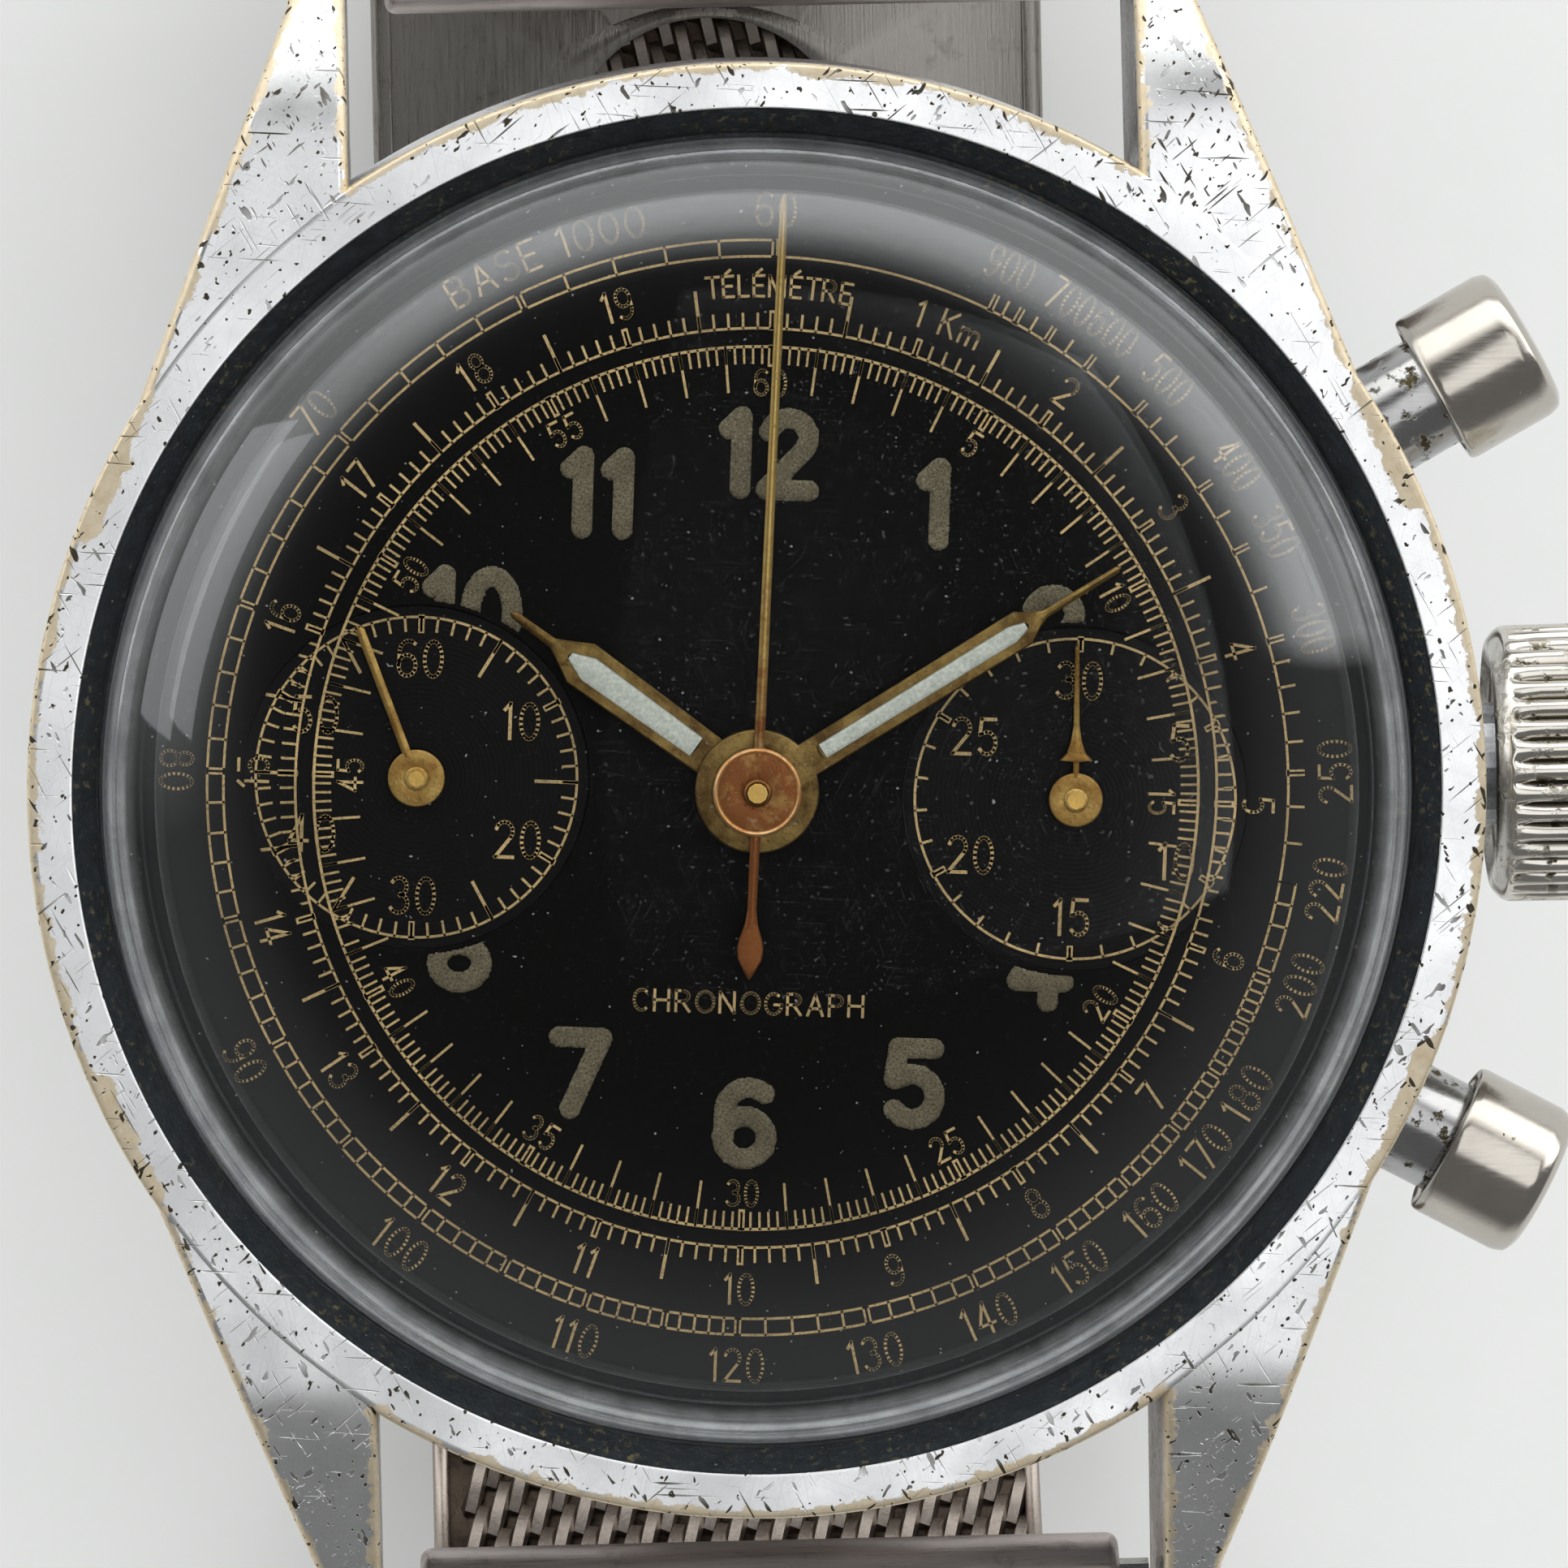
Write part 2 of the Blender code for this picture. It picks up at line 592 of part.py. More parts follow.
def make_chronograph(head, movement):
    steel, brass = (NICKEL, 0.3, 1.0), (BRASS, 0.35, 1.0)
    runner = [1.75, (circle(0.25, 10), CHRONO_LOW), (gear(48, 4.38, 4.2), CHRONO_HIGH)]
    runner += [(circle(0.25, 10), 9.05)]
    node("chronograph_runner", stack(runner), brass, movement)
    recorder = [1.75, (circle(0.22, 8), CHRONO_LOW), (gear(30, 3.1, 2.95), CHRONO_HIGH)]
    recorder += [(circle(0.22, 8), 7.85)]
    node("recorder_wheel", stack(recorder), brass, movement, (*RECORDER_AT, 0))
    arm = slab(
        rounded_bar((SECONDS_AT, COUPLING_AT), 1.1), LEVER_LOW, LEVER_HIGH, [circle(0.4, 8, SECONDS_AT)]
    )
    node("coupling_lever", arm, steel, movement)
    wheel = slab(gear(9, 0.83, 0.66), CHRONO_LOW, CHRONO_HIGH)
    node("coupling_wheel", wheel, brass, movement, (*COUPLING_AT, 0))
    columns = [2.15, (gear(12, 1.2, 1.05), 2.4), (gear(6, 0.68, 0.5), 2.8), (circle(0.2, 8), 3.3)]
    node("column_wheel", stack(columns), steel, movement, (*COLUMN_AT, 0))
    for name, angle, way in (("operating_lever", PUSHER_ANGLE, 1), ("reset_hammer", -PUSHER_ANGLE, -1)):
        heel = (12.75 * cos(radians(angle)), 12.75 * sin(radians(angle)))
        pivot = LEVER_PIVOT[0], way * LEVER_PIVOT[1]
        tip = LEVER_TIP[name]
        bar = [(x - pivot[0], y - pivot[1]) for x, y in rounded_bar((pivot, heel), 0.9)]
        lever = node(name, slab(bar, LEVER_LOW, LEVER_HIGH), steel, head, (*pivot, 0))
        beak = [(x - pivot[0], y - pivot[1]) for x, y in rounded_bar((heel, tip), 0.7)]
        join(lever, node(f"{name}_beak", slab(beak, LEVER_LOW, LEVER_HIGH), steel, head, (*pivot, 0)))
        place = (heel[0], heel[1], 0)
        join(lever, node(f"{name}_post", rod(0.3, 2.7, 4.7, 10), steel, head, place))


# ---------------------------------------------------------------- hands


def make_hands(movement):
    gilt, copper = (GILT, 0.35, 1.0), ("#a08040", 0.35, 1.0)
    hour = hand_outline(1.5, [(1.3, 0.5), (1.5, 0.51), (5.3, 0.58), (5.9, 0.25), (6.1, 0.13), (7.4, 0)])
    minute = hand_outline(1.5, [(1.3, 0.42), (1.5, 0.43), (7.6, 0.45), (8.0, 0.2), (8.2, 0.1), (10.4, 0)])
    sweep = hand_outline(
        1.08,
        [(1.0, 0.13), (1.1, 0.13), (14.0, 0.1), (14.59, 0.04), (14.6, 0)],
        [(1.0, 0.12), (2.9, 0.12), (3.8, 0.32), (4.3, 0.28), (4.6, 0)],
    )
    second = hand_outline(0.7, [(0.6, 0.11), (0.75, 0.11), (3.95, 0.04), (3.96, 0)])
    minutes = hand_outline(0.68, [(0.6, 0.1), (0.75, 0.1), (1.0, 0.4), (1.3, 0.2), (1.8, 0.07), (3.87, 0)])
    hands = (
        ("hour_hand", hour, 1.05, 7.85, 8.02, (0, 0), -56.0, gilt),
        ("minute_hand", minute, 0.75, 8.2, 8.36, (0, 0), 56.4, gilt),
        ("chronograph_hand", sweep, 0.28, 8.55, 8.65, (0, 0), 0.6, copper),
        ("running_seconds_hand", second, 0.24, 7.58, 7.68, SECONDS_AT, -22.6, gilt),
        ("recorder_hand", minutes, 0.26, 7.58, 7.68, RECORDER_AT, -1.5, gilt),
    )
    for name, outline, bore, low, high, at, angle, look in hands:
        shape = slab(outline, low, high, [circle(bore, 12)])
        node(name, shape, look, movement, (*at, 0), (0, 0, -angle))


# ---------------------------------------------------------------- bracelet


def band_path(end):
    """Middle line of one half of the band in the Y-Z plane: a Bezier curve, then a straight tongue."""
    corners = [(24.85, 45.45), (30.4, 39.5), (31.5, 2.5), (20.5, 2.5)]
    points = []
    for i in range(15):
        t = i / 14
        weights = ((1 - t) ** 3, 3 * t * (1 - t) ** 2, 3 * t * t * (1 - t), t**3)
        points.append([sum(w * c[k] for w, c in zip(weights, corners)) for k in (0, 1)])
    last = 3.6 if end > 0 else 0.3
    points += [[10.0, 2.5], [last, 2.5]]
    return [Vector((end * y, z)) for y, z in points]


def band_sections(path):
    """Rectangles square to the path, BAND_THICK thick and twice BAND_HALF wide."""
    sections = []
    for i, point in enumerate(path):
        along = (path[min(i + 1, len(path) - 1)] - path[max(i - 1, 0)]).normalized()
        out = Vector((along.y, -along.x)) * BAND_THICK / 2
        a, b = point - out, point + out
        h = BAND_HALF
        sections.append([(-h, a.x, a.y), (h, a.x, a.y), (h, b.x, b.y), (-h, b.x, b.y)])
    return sections


def end_piece_outline(end):
    """A round barrel about the spring bar with a flat tail that reaches down to the band."""
    bar = Vector((BAR_Y, HEAD_Z + BAR_Z))
    tail = Vector((24.45, 45.95))
    along = (tail - bar).normalized()
    out = Vector((-along.y, along.x))
    start = atan2(out.y, out.x)
    angles = [start + (2 * pi - pi) * i / 14 for i in range(15)]
    points = [bar + 1.4 * Vector((cos(a), sin(a))) for a in angles]
    points += [tail - 0.8 * out, tail + 0.8 * out]
    return [(end * p.x, p.y) for p in points]


def make_bracelet(head):
    steel = ("#c4bdb9", 0.35, 1.0)
    for end in (1, -1):
        hour = "12" if end > 0 else "6"
        place = dict(parent=head, at=(0, end * BAR_Y, BAR_Z), turn=(0, 90, 0))
        bar = [(0, -10.4), (0.42, -10.4), (0.42, -9.4), (0.75, -9.4)]
        bar += [(0.75, 9.4), (0.42, 9.4), (0.42, 10.4), (0, 10.4)]
        node(f"spring_bar_{hour}", turned(bar, 12), (STEEL, 0.3, 1.0), **place)
        hole = circle(0.82, 14, (end * BAR_Y, HEAD_Z + BAR_Z))
        node(f"end_piece_{hour}", across(end_piece_outline(end), 8.65, [hole]), steel, None)
        node(f"mesh_{hour}", loft(band_sections(band_path(end))), steel, None)


def make_clasp():
    look = ("#8d8a86", 0.35, 1.0)
    half, inside = CLASP_HALF, CLASP_HALF - CLASP_WALL
    plate = node("clasp_plate", box((-half, -9, 1.3), (half, 20, 4.1)), look, None)
    cut(plate, node("clasp_channel", box((-inside, -10, 1.72), (inside, 21, 3.3)), look, None))
    cut(plate, node("clasp_mouth", box((-inside, -10, 3.0), (inside, 3, 5.0)), look, None))
    window = [(3.75 * cos(2 * pi * i / 24), 14.6 + 3.4 * sin(2 * pi * i / 24)) for i in range(24)]
    cut(plate, node("clasp_window", slab(window, 3.0, 4.5), look, None))
    for side in (-1, 1):
        near, far = sorted((side * 6.3, side * 7.4))
        ear = node(f"clasp_ear_{side}", box((near, 12.7, 0.15), (far, 14.1, 1.5)), look, None)
        join(plate, ear)
    pin_place = dict(parent=None, at=(0, PIN_Y, PIN_Z), turn=(0, 90, 0))
    cut(plate, node("pin_hole", rod(0.35, -8, 8, 12), look, **pin_place))
    node("clasp_pin", rod(0.3, -7.4, 7.4, 12), (STEEL, 0.3, 1.0), **pin_place)
    lever_outline = [(-7.6, 0.0), (-7.0, 0.85), (12.2, 0.85)]
    steps = [radians(155 - 245 * i / 8) for i in range(9)]
    lever_outline += [(PIN_Y + 0.6 * cos(a), PIN_Z + 0.6 * sin(a)) for a in steps]
    lever = across(lever_outline, 6.1, [circle(0.36, 10, (PIN_Y, PIN_Z))])
    for vertex in lever.verts:
        vertex.co.y -= PIN_Y
        vertex.co.z -= PIN_Z
    node("clasp_lever", lever, (STEEL, 0.3, 1.0), None, (0, PIN_Y, PIN_Z))


def main():
    for old in list(bpy.data.objects):
        bpy.data.objects.remove(old)
    head = empty("watch_head", None, (0, 0, HEAD_Z))
    movement = empty("movement", head, turn=DIAL_TURN)
    make_case(head)
    make_dial(head, movement)
    make_plates(head, movement)
    make_train(movement)
    make_escapement(movement)
    make_keyless(head, movement)
    make_pushers(head)
    make_chronograph(head, movement)
    make_hands(movement)
    make_bracelet(head)
    make_clasp()


main()
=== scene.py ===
"""Two-register wrist chronograph: visible surfaces, finishes and studio, as a Blender 4.5 add-on.

Every piece is a surface worked out with numpy in millimetres and stored in metres, in the frame of the
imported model: +Z out of the dial, +Y towards 12 o'clock, +X towards the crown.
"""

import json
from math import atan2, cos, degrees, pi, radians, sin

import bmesh
import bpy
import numpy as np
from mathutils import Matrix, Vector
from mathutils.geometry import delaunay_2d_cdt


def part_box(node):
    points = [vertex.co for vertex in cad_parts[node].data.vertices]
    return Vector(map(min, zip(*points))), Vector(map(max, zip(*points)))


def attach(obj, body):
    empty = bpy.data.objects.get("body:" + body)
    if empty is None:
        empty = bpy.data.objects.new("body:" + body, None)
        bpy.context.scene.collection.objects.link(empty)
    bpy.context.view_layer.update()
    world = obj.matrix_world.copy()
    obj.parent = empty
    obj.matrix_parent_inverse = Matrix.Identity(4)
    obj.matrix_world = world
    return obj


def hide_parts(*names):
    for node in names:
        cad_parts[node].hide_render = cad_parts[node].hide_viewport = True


bl_info = {
    "name": "Wrist Chronograph",
    "version": (1, 0, 0),
    "blender": (4, 5, 0),
    "location": "View3D > Sidebar > Chronograph",
    "description": "Builds the surfaces, finishes and studio of a two-register wrist chronograph",
    "category": "Object",
}

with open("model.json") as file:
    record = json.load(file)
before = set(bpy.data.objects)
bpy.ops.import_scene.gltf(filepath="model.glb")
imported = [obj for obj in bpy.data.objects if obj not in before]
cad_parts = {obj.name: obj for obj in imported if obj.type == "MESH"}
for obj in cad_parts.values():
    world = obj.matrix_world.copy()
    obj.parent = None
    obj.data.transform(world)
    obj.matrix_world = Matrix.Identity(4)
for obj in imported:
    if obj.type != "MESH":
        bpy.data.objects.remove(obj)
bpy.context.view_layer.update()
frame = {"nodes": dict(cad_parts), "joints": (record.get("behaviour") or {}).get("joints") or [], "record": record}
MM = 0.001


# ---------------------------------------------------------------- places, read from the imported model


def node_box(name):
    """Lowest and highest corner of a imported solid, in millimetres."""
    low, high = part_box(name)
    return np.array(low) / MM, np.array(high) / MM


def joint_place(name):
    """A joint's own point, in millimetres."""
    found = [joint for joint in frame["joints"] if joint["name"] == name]
    return np.array(found[0]["pos_m"]) / MM


BACK_Z = node_box("case_back")[0][2]
CASE_TOP = node_box("case_middle")[1][2]
CASE_LOW = node_box("case_middle")[0][2]
CASE_R = 17.75
DIAL_LOW, DIAL_TOP = node_box("dial")[0][2], node_box("dial")[1][2]
CRYSTAL_FOOT, CRYSTAL_TOP = node_box("crystal")[0][2], node_box("crystal")[1][2]
CROWN_END = node_box("crown")[1][0]
STEM_Z = joint_place("crown_turn")[2]
SECONDS_AT = joint_place("running_seconds_turn")[:2]
RECORDER_AT = joint_place("minute_recorder_turn")[:2]
DIAL_TURN = degrees(atan2(*(RECORDER_AT - SECONDS_AT)[::-1]))
GROOVE_R = 16.64
CRYSTAL_R = 15.95
SINK_R = 4.2
SINK_FLOOR = DIAL_TOP - 0.15
FLOOR_SKIN = 0.004
LUG_INNER = 9.6
LUG_TIP = 22.3
LUG_KNEE = 19.3
LUG_HALF = 11.0
FLANK_SLOPE, TIP_SLOPE = 0.4, 0.12
WALL_R, WALL_Y = 15.05, 14.93
DIAL_R, DIAL_HOLE = 15.45, 1.2
PUSHER_ANGLE = 28.6
BAR_Y, BAR_Z = joint_place("strap_12_swing")[1:]
PIN_Y, PIN_Z = joint_place("clasp_lever_open")[1:]
BAND_HALF, BAND_THICK = 8.5, 1.4


# ---------------------------------------------------------------- settings


def linear(code):
    """An sRGB hex colour as linear RGBA."""
    value = np.array([int(code[i : i + 2], 16) / 255 for i in (1, 3, 5)])
    value = np.where(value <= 0.04045, value / 12.92, ((value + 0.055) / 1.055) ** 2.4)
    return (*value.tolist(), 1.0)


class CaseSizes(bpy.types.PropertyGroup):
    edge_round: bpy.props.FloatProperty(
        name="Edge rounding",
        description="Radius of the worn outer edges, mm",
        default=0.22, min=0.05, max=0.5
    )
    plating: bpy.props.FloatVectorProperty(
        name="Plating",
        description="Colour of the chrome plating",
        subtype="COLOR", default=linear("#f4f5f7")[:3]
    )
    brass_wear: bpy.props.FloatProperty(
        name="Brass wear", description="Width of bare brass along the edges, mm", default=0.2, min=0, max=1
    )
    pits: bpy.props.FloatProperty(
        name="Pits",
        description="Share of the pit pattern that shows",
        default=0.5, subtype="FACTOR", min=0, max=1
    )


class DialSizes(bpy.types.PropertyGroup):
    line_width: bpy.props.FloatProperty(
        name="Line width", description="Width of the printed lines, mm", default=0.062, min=0.02, max=0.2
    )
    numeral_height: bpy.props.FloatProperty(
        name="Hour numeral height",
        description="Height of the luminous hour numerals, mm",
        default=2.28, min=1, max=3
    )
    numeral_stroke: bpy.props.FloatProperty(
        name="Hour numeral stroke",
        description="Stroke of the hour numerals, mm",
        default=0.52, min=0.2, max=1
    )
    lacquer: bpy.props.FloatVectorProperty(
        name="Lacquer", description="Colour of the dial", subtype="COLOR", default=linear("#0b0b0a")[:3]
    )
    ink: bpy.props.FloatVectorProperty(
        name="Ink", description="Colour of the printing", subtype="COLOR", default=linear("#cdb27c")[:3]
    )
    lume: bpy.props.FloatVectorProperty(
        name="Lume", description="Colour of the hour numerals", subtype="COLOR", default=linear("#857e68")[:3]
    )
    print_height: bpy.props.FloatProperty(
        name="Print thickness",
        description="How far the print stands on the dial, mm",
        default=0.012, min=0.005, max=0.05
    )


class HandSizes(bpy.types.PropertyGroup):
    gilding: bpy.props.FloatVectorProperty(
        name="Gilding",
        description="Colour of hour and minute hand",
        subtype="COLOR", default=linear("#8b7442")[:3]
    )
    crown_of_blade: bpy.props.FloatProperty(
        name="Blade crown",
        description="How far the middle of a blade stands over its edges, mm",
        default=0.02, min=0, max=0.1
    )


class BraceletSizes(bpy.types.PropertyGroup):
    wire: bpy.props.FloatProperty(
        name="Wire radius", description="Radius of the mesh wire, mm", default=0.26, min=0.1, max=0.3
    )
    link_pitch: bpy.props.FloatProperty(
        name="Link pitch",
        description="Distance between two loops of one row, mm",
        default=1.25, min=0.8, max=3
    )
    row_pitch: bpy.props.FloatProperty(
        name="Row pitch",
        description="Distance between two rows along the band, mm",
        default=0.84, min=0.6, max=3
    )


class StudioSizes(bpy.types.PropertyGroup):
    camera_distance: bpy.props.FloatProperty(
        name="Camera distance", description="From the case top to the camera", default=0.35, unit="LENGTH"
    )
    camera_tilt: bpy.props.FloatProperty(
        name="Camera tilt",
        description="Lean of the view towards 12 o'clock",
        default=radians(4.0), unit="ROTATION"
    )
    camera_lean: bpy.props.FloatProperty(
        name="Camera lean",
        description="Lean of the view towards 9 o'clock",
        default=radians(1.2), unit="ROTATION"
    )
    key: bpy.props.FloatProperty(
        name="Overhead radiance", description="Radiance of the overhead softbox", default=1.28
    )
    side: bpy.props.FloatProperty(
        name="Side radiance", description="Radiance of the tent's bright side", default=2.4
    )
    fill: bpy.props.FloatProperty(
        name="Fill radiance", description="Radiance of the fill on matt surfaces", default=0.62
    )


# ---------------------------------------------------------------- surfaces


def grids(points, round_rows=False, round_columns=False):
    """Quads between neighbouring points of (shells, rows, columns, 3) grids; a round direction joins its
    last line to its first."""
    shells, rows, columns = points.shape[:3]
    number = np.arange(shells * rows * columns).reshape(shells, rows, columns)
    if round_rows:
        number = np.concatenate([number, number[:, :1]], 1)
    if round_columns:
        number = np.concatenate([number, number[:, :, :1]], 2)
    corners = (number[:, :-1, :-1], number[:, 1:, :-1], number[:, 1:, 1:], number[:, :-1, 1:])
    return points.reshape(-1, 3), np.stack(corners, -1).reshape(-1, 4)


def capped(points):
    """Adds a row drawn together into its middle at each end of every shell, which closes a tube."""
    first = np.broadcast_to(points[:, :1].mean(2, keepdims=True), points[:, :1].shape)
    last = np.broadcast_to(points[:, -1:].mean(2, keepdims=True), points[:, -1:].shape)
    return np.concatenate([first, points, last], 1)


def outward(verts, faces):
    """Turns the faces round if the volume they enclose comes out negative."""
    a, b, c, d = (verts[faces[:, k]] for k in range(4))
    volume = np.einsum("ij,ij->i", a, np.cross(b, c)).sum() + np.einsum("ij,ij->i", a, np.cross(c, d)).sum()
    return faces[:, ::-1] if volume < 0 else faces


def mesh_piece(name, shells, body, material, slot, **values):
    """One object from (verts, faces) shells in millimetres; a face whose last two corners are the same is a
    triangle. values are point attributes, one array each."""
    verts, faces, start = [], [], 0
    for points, quads in shells:
        verts.append(points)
        faces.append(outward(points, quads) + start)
        start += len(points)
    verts, faces = np.concatenate(verts) * MM, np.concatenate(faces)
    mesh = bpy.data.meshes.new(name)
    mesh.vertices.add(len(verts))
    mesh.vertices.foreach_set("co", verts.ravel().astype(np.float32))
    used = np.ones(faces.shape, bool)
    used[:, 3] = faces[:, 3] != faces[:, 2]
    mesh.loops.add(int(used.sum()))
    mesh.loops.foreach_set("vertex_index", faces[used].astype(np.int32))
    mesh.polygons.add(len(faces))
    mesh.polygons.foreach_set("loop_start", (np.cumsum(used.sum(1)) - used.sum(1)).astype(np.int32))
    mesh.update(calc_edges=True)
    for label, value in values.items():
        layer = mesh.attributes.new(label, "FLOAT", "POINT")
        layer.data.foreach_set("value", np.asarray(value, np.float32).ravel())
    shape = bmesh.new()
    shape.from_mesh(mesh)
    bmesh.ops.remove_doubles(shape, verts=shape.verts, dist=1e-7)
    shape.to_mesh(mesh)
    shape.free()
    mesh.shade_smooth()
    mesh.set_sharp_from_angle(angle=radians(38))
    piece = bpy.data.objects.new(name, mesh)
    bpy.context.collection.objects.link(piece)
    mesh.materials.append(material)
    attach(piece, body)
    return piece


def fillet(points, radius, count=4):
    """Corners of a closed outline turned into short arcs: each corner becomes count points on the quadratic
    curve from one side to the next, starting radius away from it (or half a side, if that is less)."""
    here = np.asarray(points, float)
    radius = np.broadcast_to(radius, len(here))[:, None]
    before, after = np.roll(here, 1, 0) - here, np.roll(here, -1, 0) - here
    reach = [np.minimum(radius, np.linalg.norm(v, axis=1, keepdims=True) * 0.45) for v in (before, after)]
    start = here + before / np.linalg.norm(before, axis=1, keepdims=True) * reach[0]
    end = here + after / np.linalg.norm(after, axis=1, keepdims=True) * reach[1]
    t = np.linspace(0, 1, count)[None, :, None]
    curve = (1 - t) ** 2 * start[:, None] + 2 * t * (1 - t) * here[:, None] + t * t * end[:, None]
    return curve.reshape(-1, 2)


def lathe(profile, steps, swell=None):
    """A (radius, height) outline turned about Z: x = r cos a, y = r sin a. swell adds to the radius and is a
    function of the profile's points and the angles."""
    profile = np.asarray(profile, float)
    turn = np.linspace(0, 2 * pi, steps, endpoint=False)
    radius = np.repeat(profile[:, :1], steps, 1)
    if swell is not None:
        radius = radius + swell(profile, turn)
    height = np.repeat(profile[:, 1:], steps, 1)
    return np.stack([radius * np.cos(turn), radius * np.sin(turn), height], -1)[None]


def turned(profile, steps, closed=True, swell=None):
    """The lathe surface of a closed outline, or of one that starts and ends on the axis."""
    return grids(lathe(profile, steps, swell), round_rows=closed, round_columns=True)


def placed(shell, at=(0, 0, 0), turn=0.0, lean=False):
    """A shell moved to a place after a turn about Z in degrees; lean first lays its axis along +X."""
    verts, faces = shell
    if lean:
        verts = verts[:, [2, 1, 0]] * (1, 1, -1)
    a = radians(turn)
    spin = np.array([[cos(a), sin(a), 0], [-sin(a), cos(a), 0], [0, 0, 1]])
    return verts @ spin + np.asarray(at, float), faces


def rounded_block(low, high, radius, steps=6):
    """A box with round edges: a sphere of that radius whose eight octants are pushed out to the corners."""
    low, high = np.asarray(low, float), np.asarray(high, float)
    up = np.concatenate([np.linspace(-pi / 2, 0, steps), np.linspace(0, pi / 2, steps)])
    quarter = np.linspace(0, pi / 2, steps)
    round_about = np.concatenate([quarter + k * pi / 2 for k in range(4)])
    sx = np.repeat([1, -1, -1, 1], steps)
    sy = np.repeat([1, 1, -1, -1], steps)
    sz = np.repeat([-1, 1], steps)[:, None]
    ball = np.stack(
        [np.cos(up)[:, None] * np.cos(round_about), np.cos(up)[:, None] * np.sin(round_about),
         np.sin(up)[:, None] + 0 * round_about], -1
    )
    sign = np.stack(np.broadcast_arrays(sx, sy, sz), -1)
    points = (low + high) / 2 + sign * ((high - low) / 2 - radius) + radius * ball
    return grids(capped(points[None]), round_columns=True)


def inset(outline, distance):
    """A closed 2-D outline moved inwards along the mean of its two edge normals at each point."""
    edge = np.roll(outline, -1, 0) - outline
    edge /= np.maximum(np.linalg.norm(edge, axis=1, keepdims=True), 1e-9)
    normal = np.stack([-edge[:, 1], edge[:, 0]], -1)
    mean = normal + np.roll(normal, 1, 0)
    mean /= np.maximum((mean * normal).sum(1, keepdims=True), 0.5)
    area = (outline[:, 0] * np.roll(outline[:, 1], -1) - np.roll(outline[:, 0], -1) * outline[:, 1]).sum()
    return outline + mean * distance * (1 if area > 0 else -1)


def across(outline, half, edge, steps=4, stations=2):
    """A (y, z) outline carried along X from -half to half; its ends are rounded by drawing the outline in
    along a quarter circle of radius edge."""
    bend = np.linspace(0, pi / 2, steps)
    drawn = edge * (1 - np.sin(bend))
    out = half - edge + edge * np.cos(bend)
    x = np.concatenate([-out, np.linspace(-half + edge, half - edge, stations)[1:-1], out[::-1]])
    draw = np.concatenate([drawn, np.zeros(stations)[1:-1], drawn[::-1]])
    rows = []
    for place, depth in zip(x, draw):
        section = inset(outline, depth)
        rows.append(np.column_stack([np.full(len(section), place), section]))
    return grids(capped(np.array(rows)[None]), round_columns=True)


def plate(outlines, low, high):
    """A flat plate between two heights from an outer outline and its convex holes: a constrained
    triangulation, less the triangles that lie in a hole, for the two faces, and quads for the walls."""
    points = np.concatenate(outlines)
    edges, start = [], 0
    for outline in outlines:
        number = np.arange(len(outline)) + start
        edges += np.column_stack([number, np.roll(number, -1)]).tolist()
        start += len(outline)
    flat = delaunay_2d_cdt([Vector(p) for p in points.tolist()], edges, [], 0, 1e-9)
    triangles = np.array([list(face) for face in flat[2]])
    owner = np.repeat(np.arange(len(outlines)), [len(outline) for outline in outlines])[triangles]
    in_hole = (owner[:, 0] > 0) & (owner[:, 0] == owner[:, 1]) & (owner[:, 1] == owner[:, 2])
    triangles = triangles[~in_hole]
    across_2d = np.array([list(v) for v in flat[0]])
    size = len(across_2d)
    verts = np.concatenate([np.column_stack([across_2d, np.full(size, z)]) for z in (high, low)])
    a, b, c = across_2d[triangles].transpose(1, 0, 2)
    flip = np.cross(b - a, c - a) < 0
    triangles[flip] = triangles[flip][:, ::-1]
    order = np.array([0, 1, 2, 2])
    faces = [triangles[:, order], triangles[:, ::-1][:, order] + size]
    start = 0
    for outline in outlines:
        here = np.arange(len(outline)) + start
        following = np.roll(here, -1)
        wall = np.column_stack([here, here + size, following + size, following])
        faces.append(wall)
        start += len(outline)
    return verts, np.concatenate(faces)


# ---------------------------------------------------------------- single-stroke lettering


def arc(x, y, across_r, up_r, start, end, count=9):
    """Points on an ellipse from one angle to another, in degrees anticlockwise from +X."""
    a = np.radians(np.linspace(start, end, count))
    return np.column_stack([x + across_r * np.cos(a), y + up_r * np.sin(a)]).tolist()


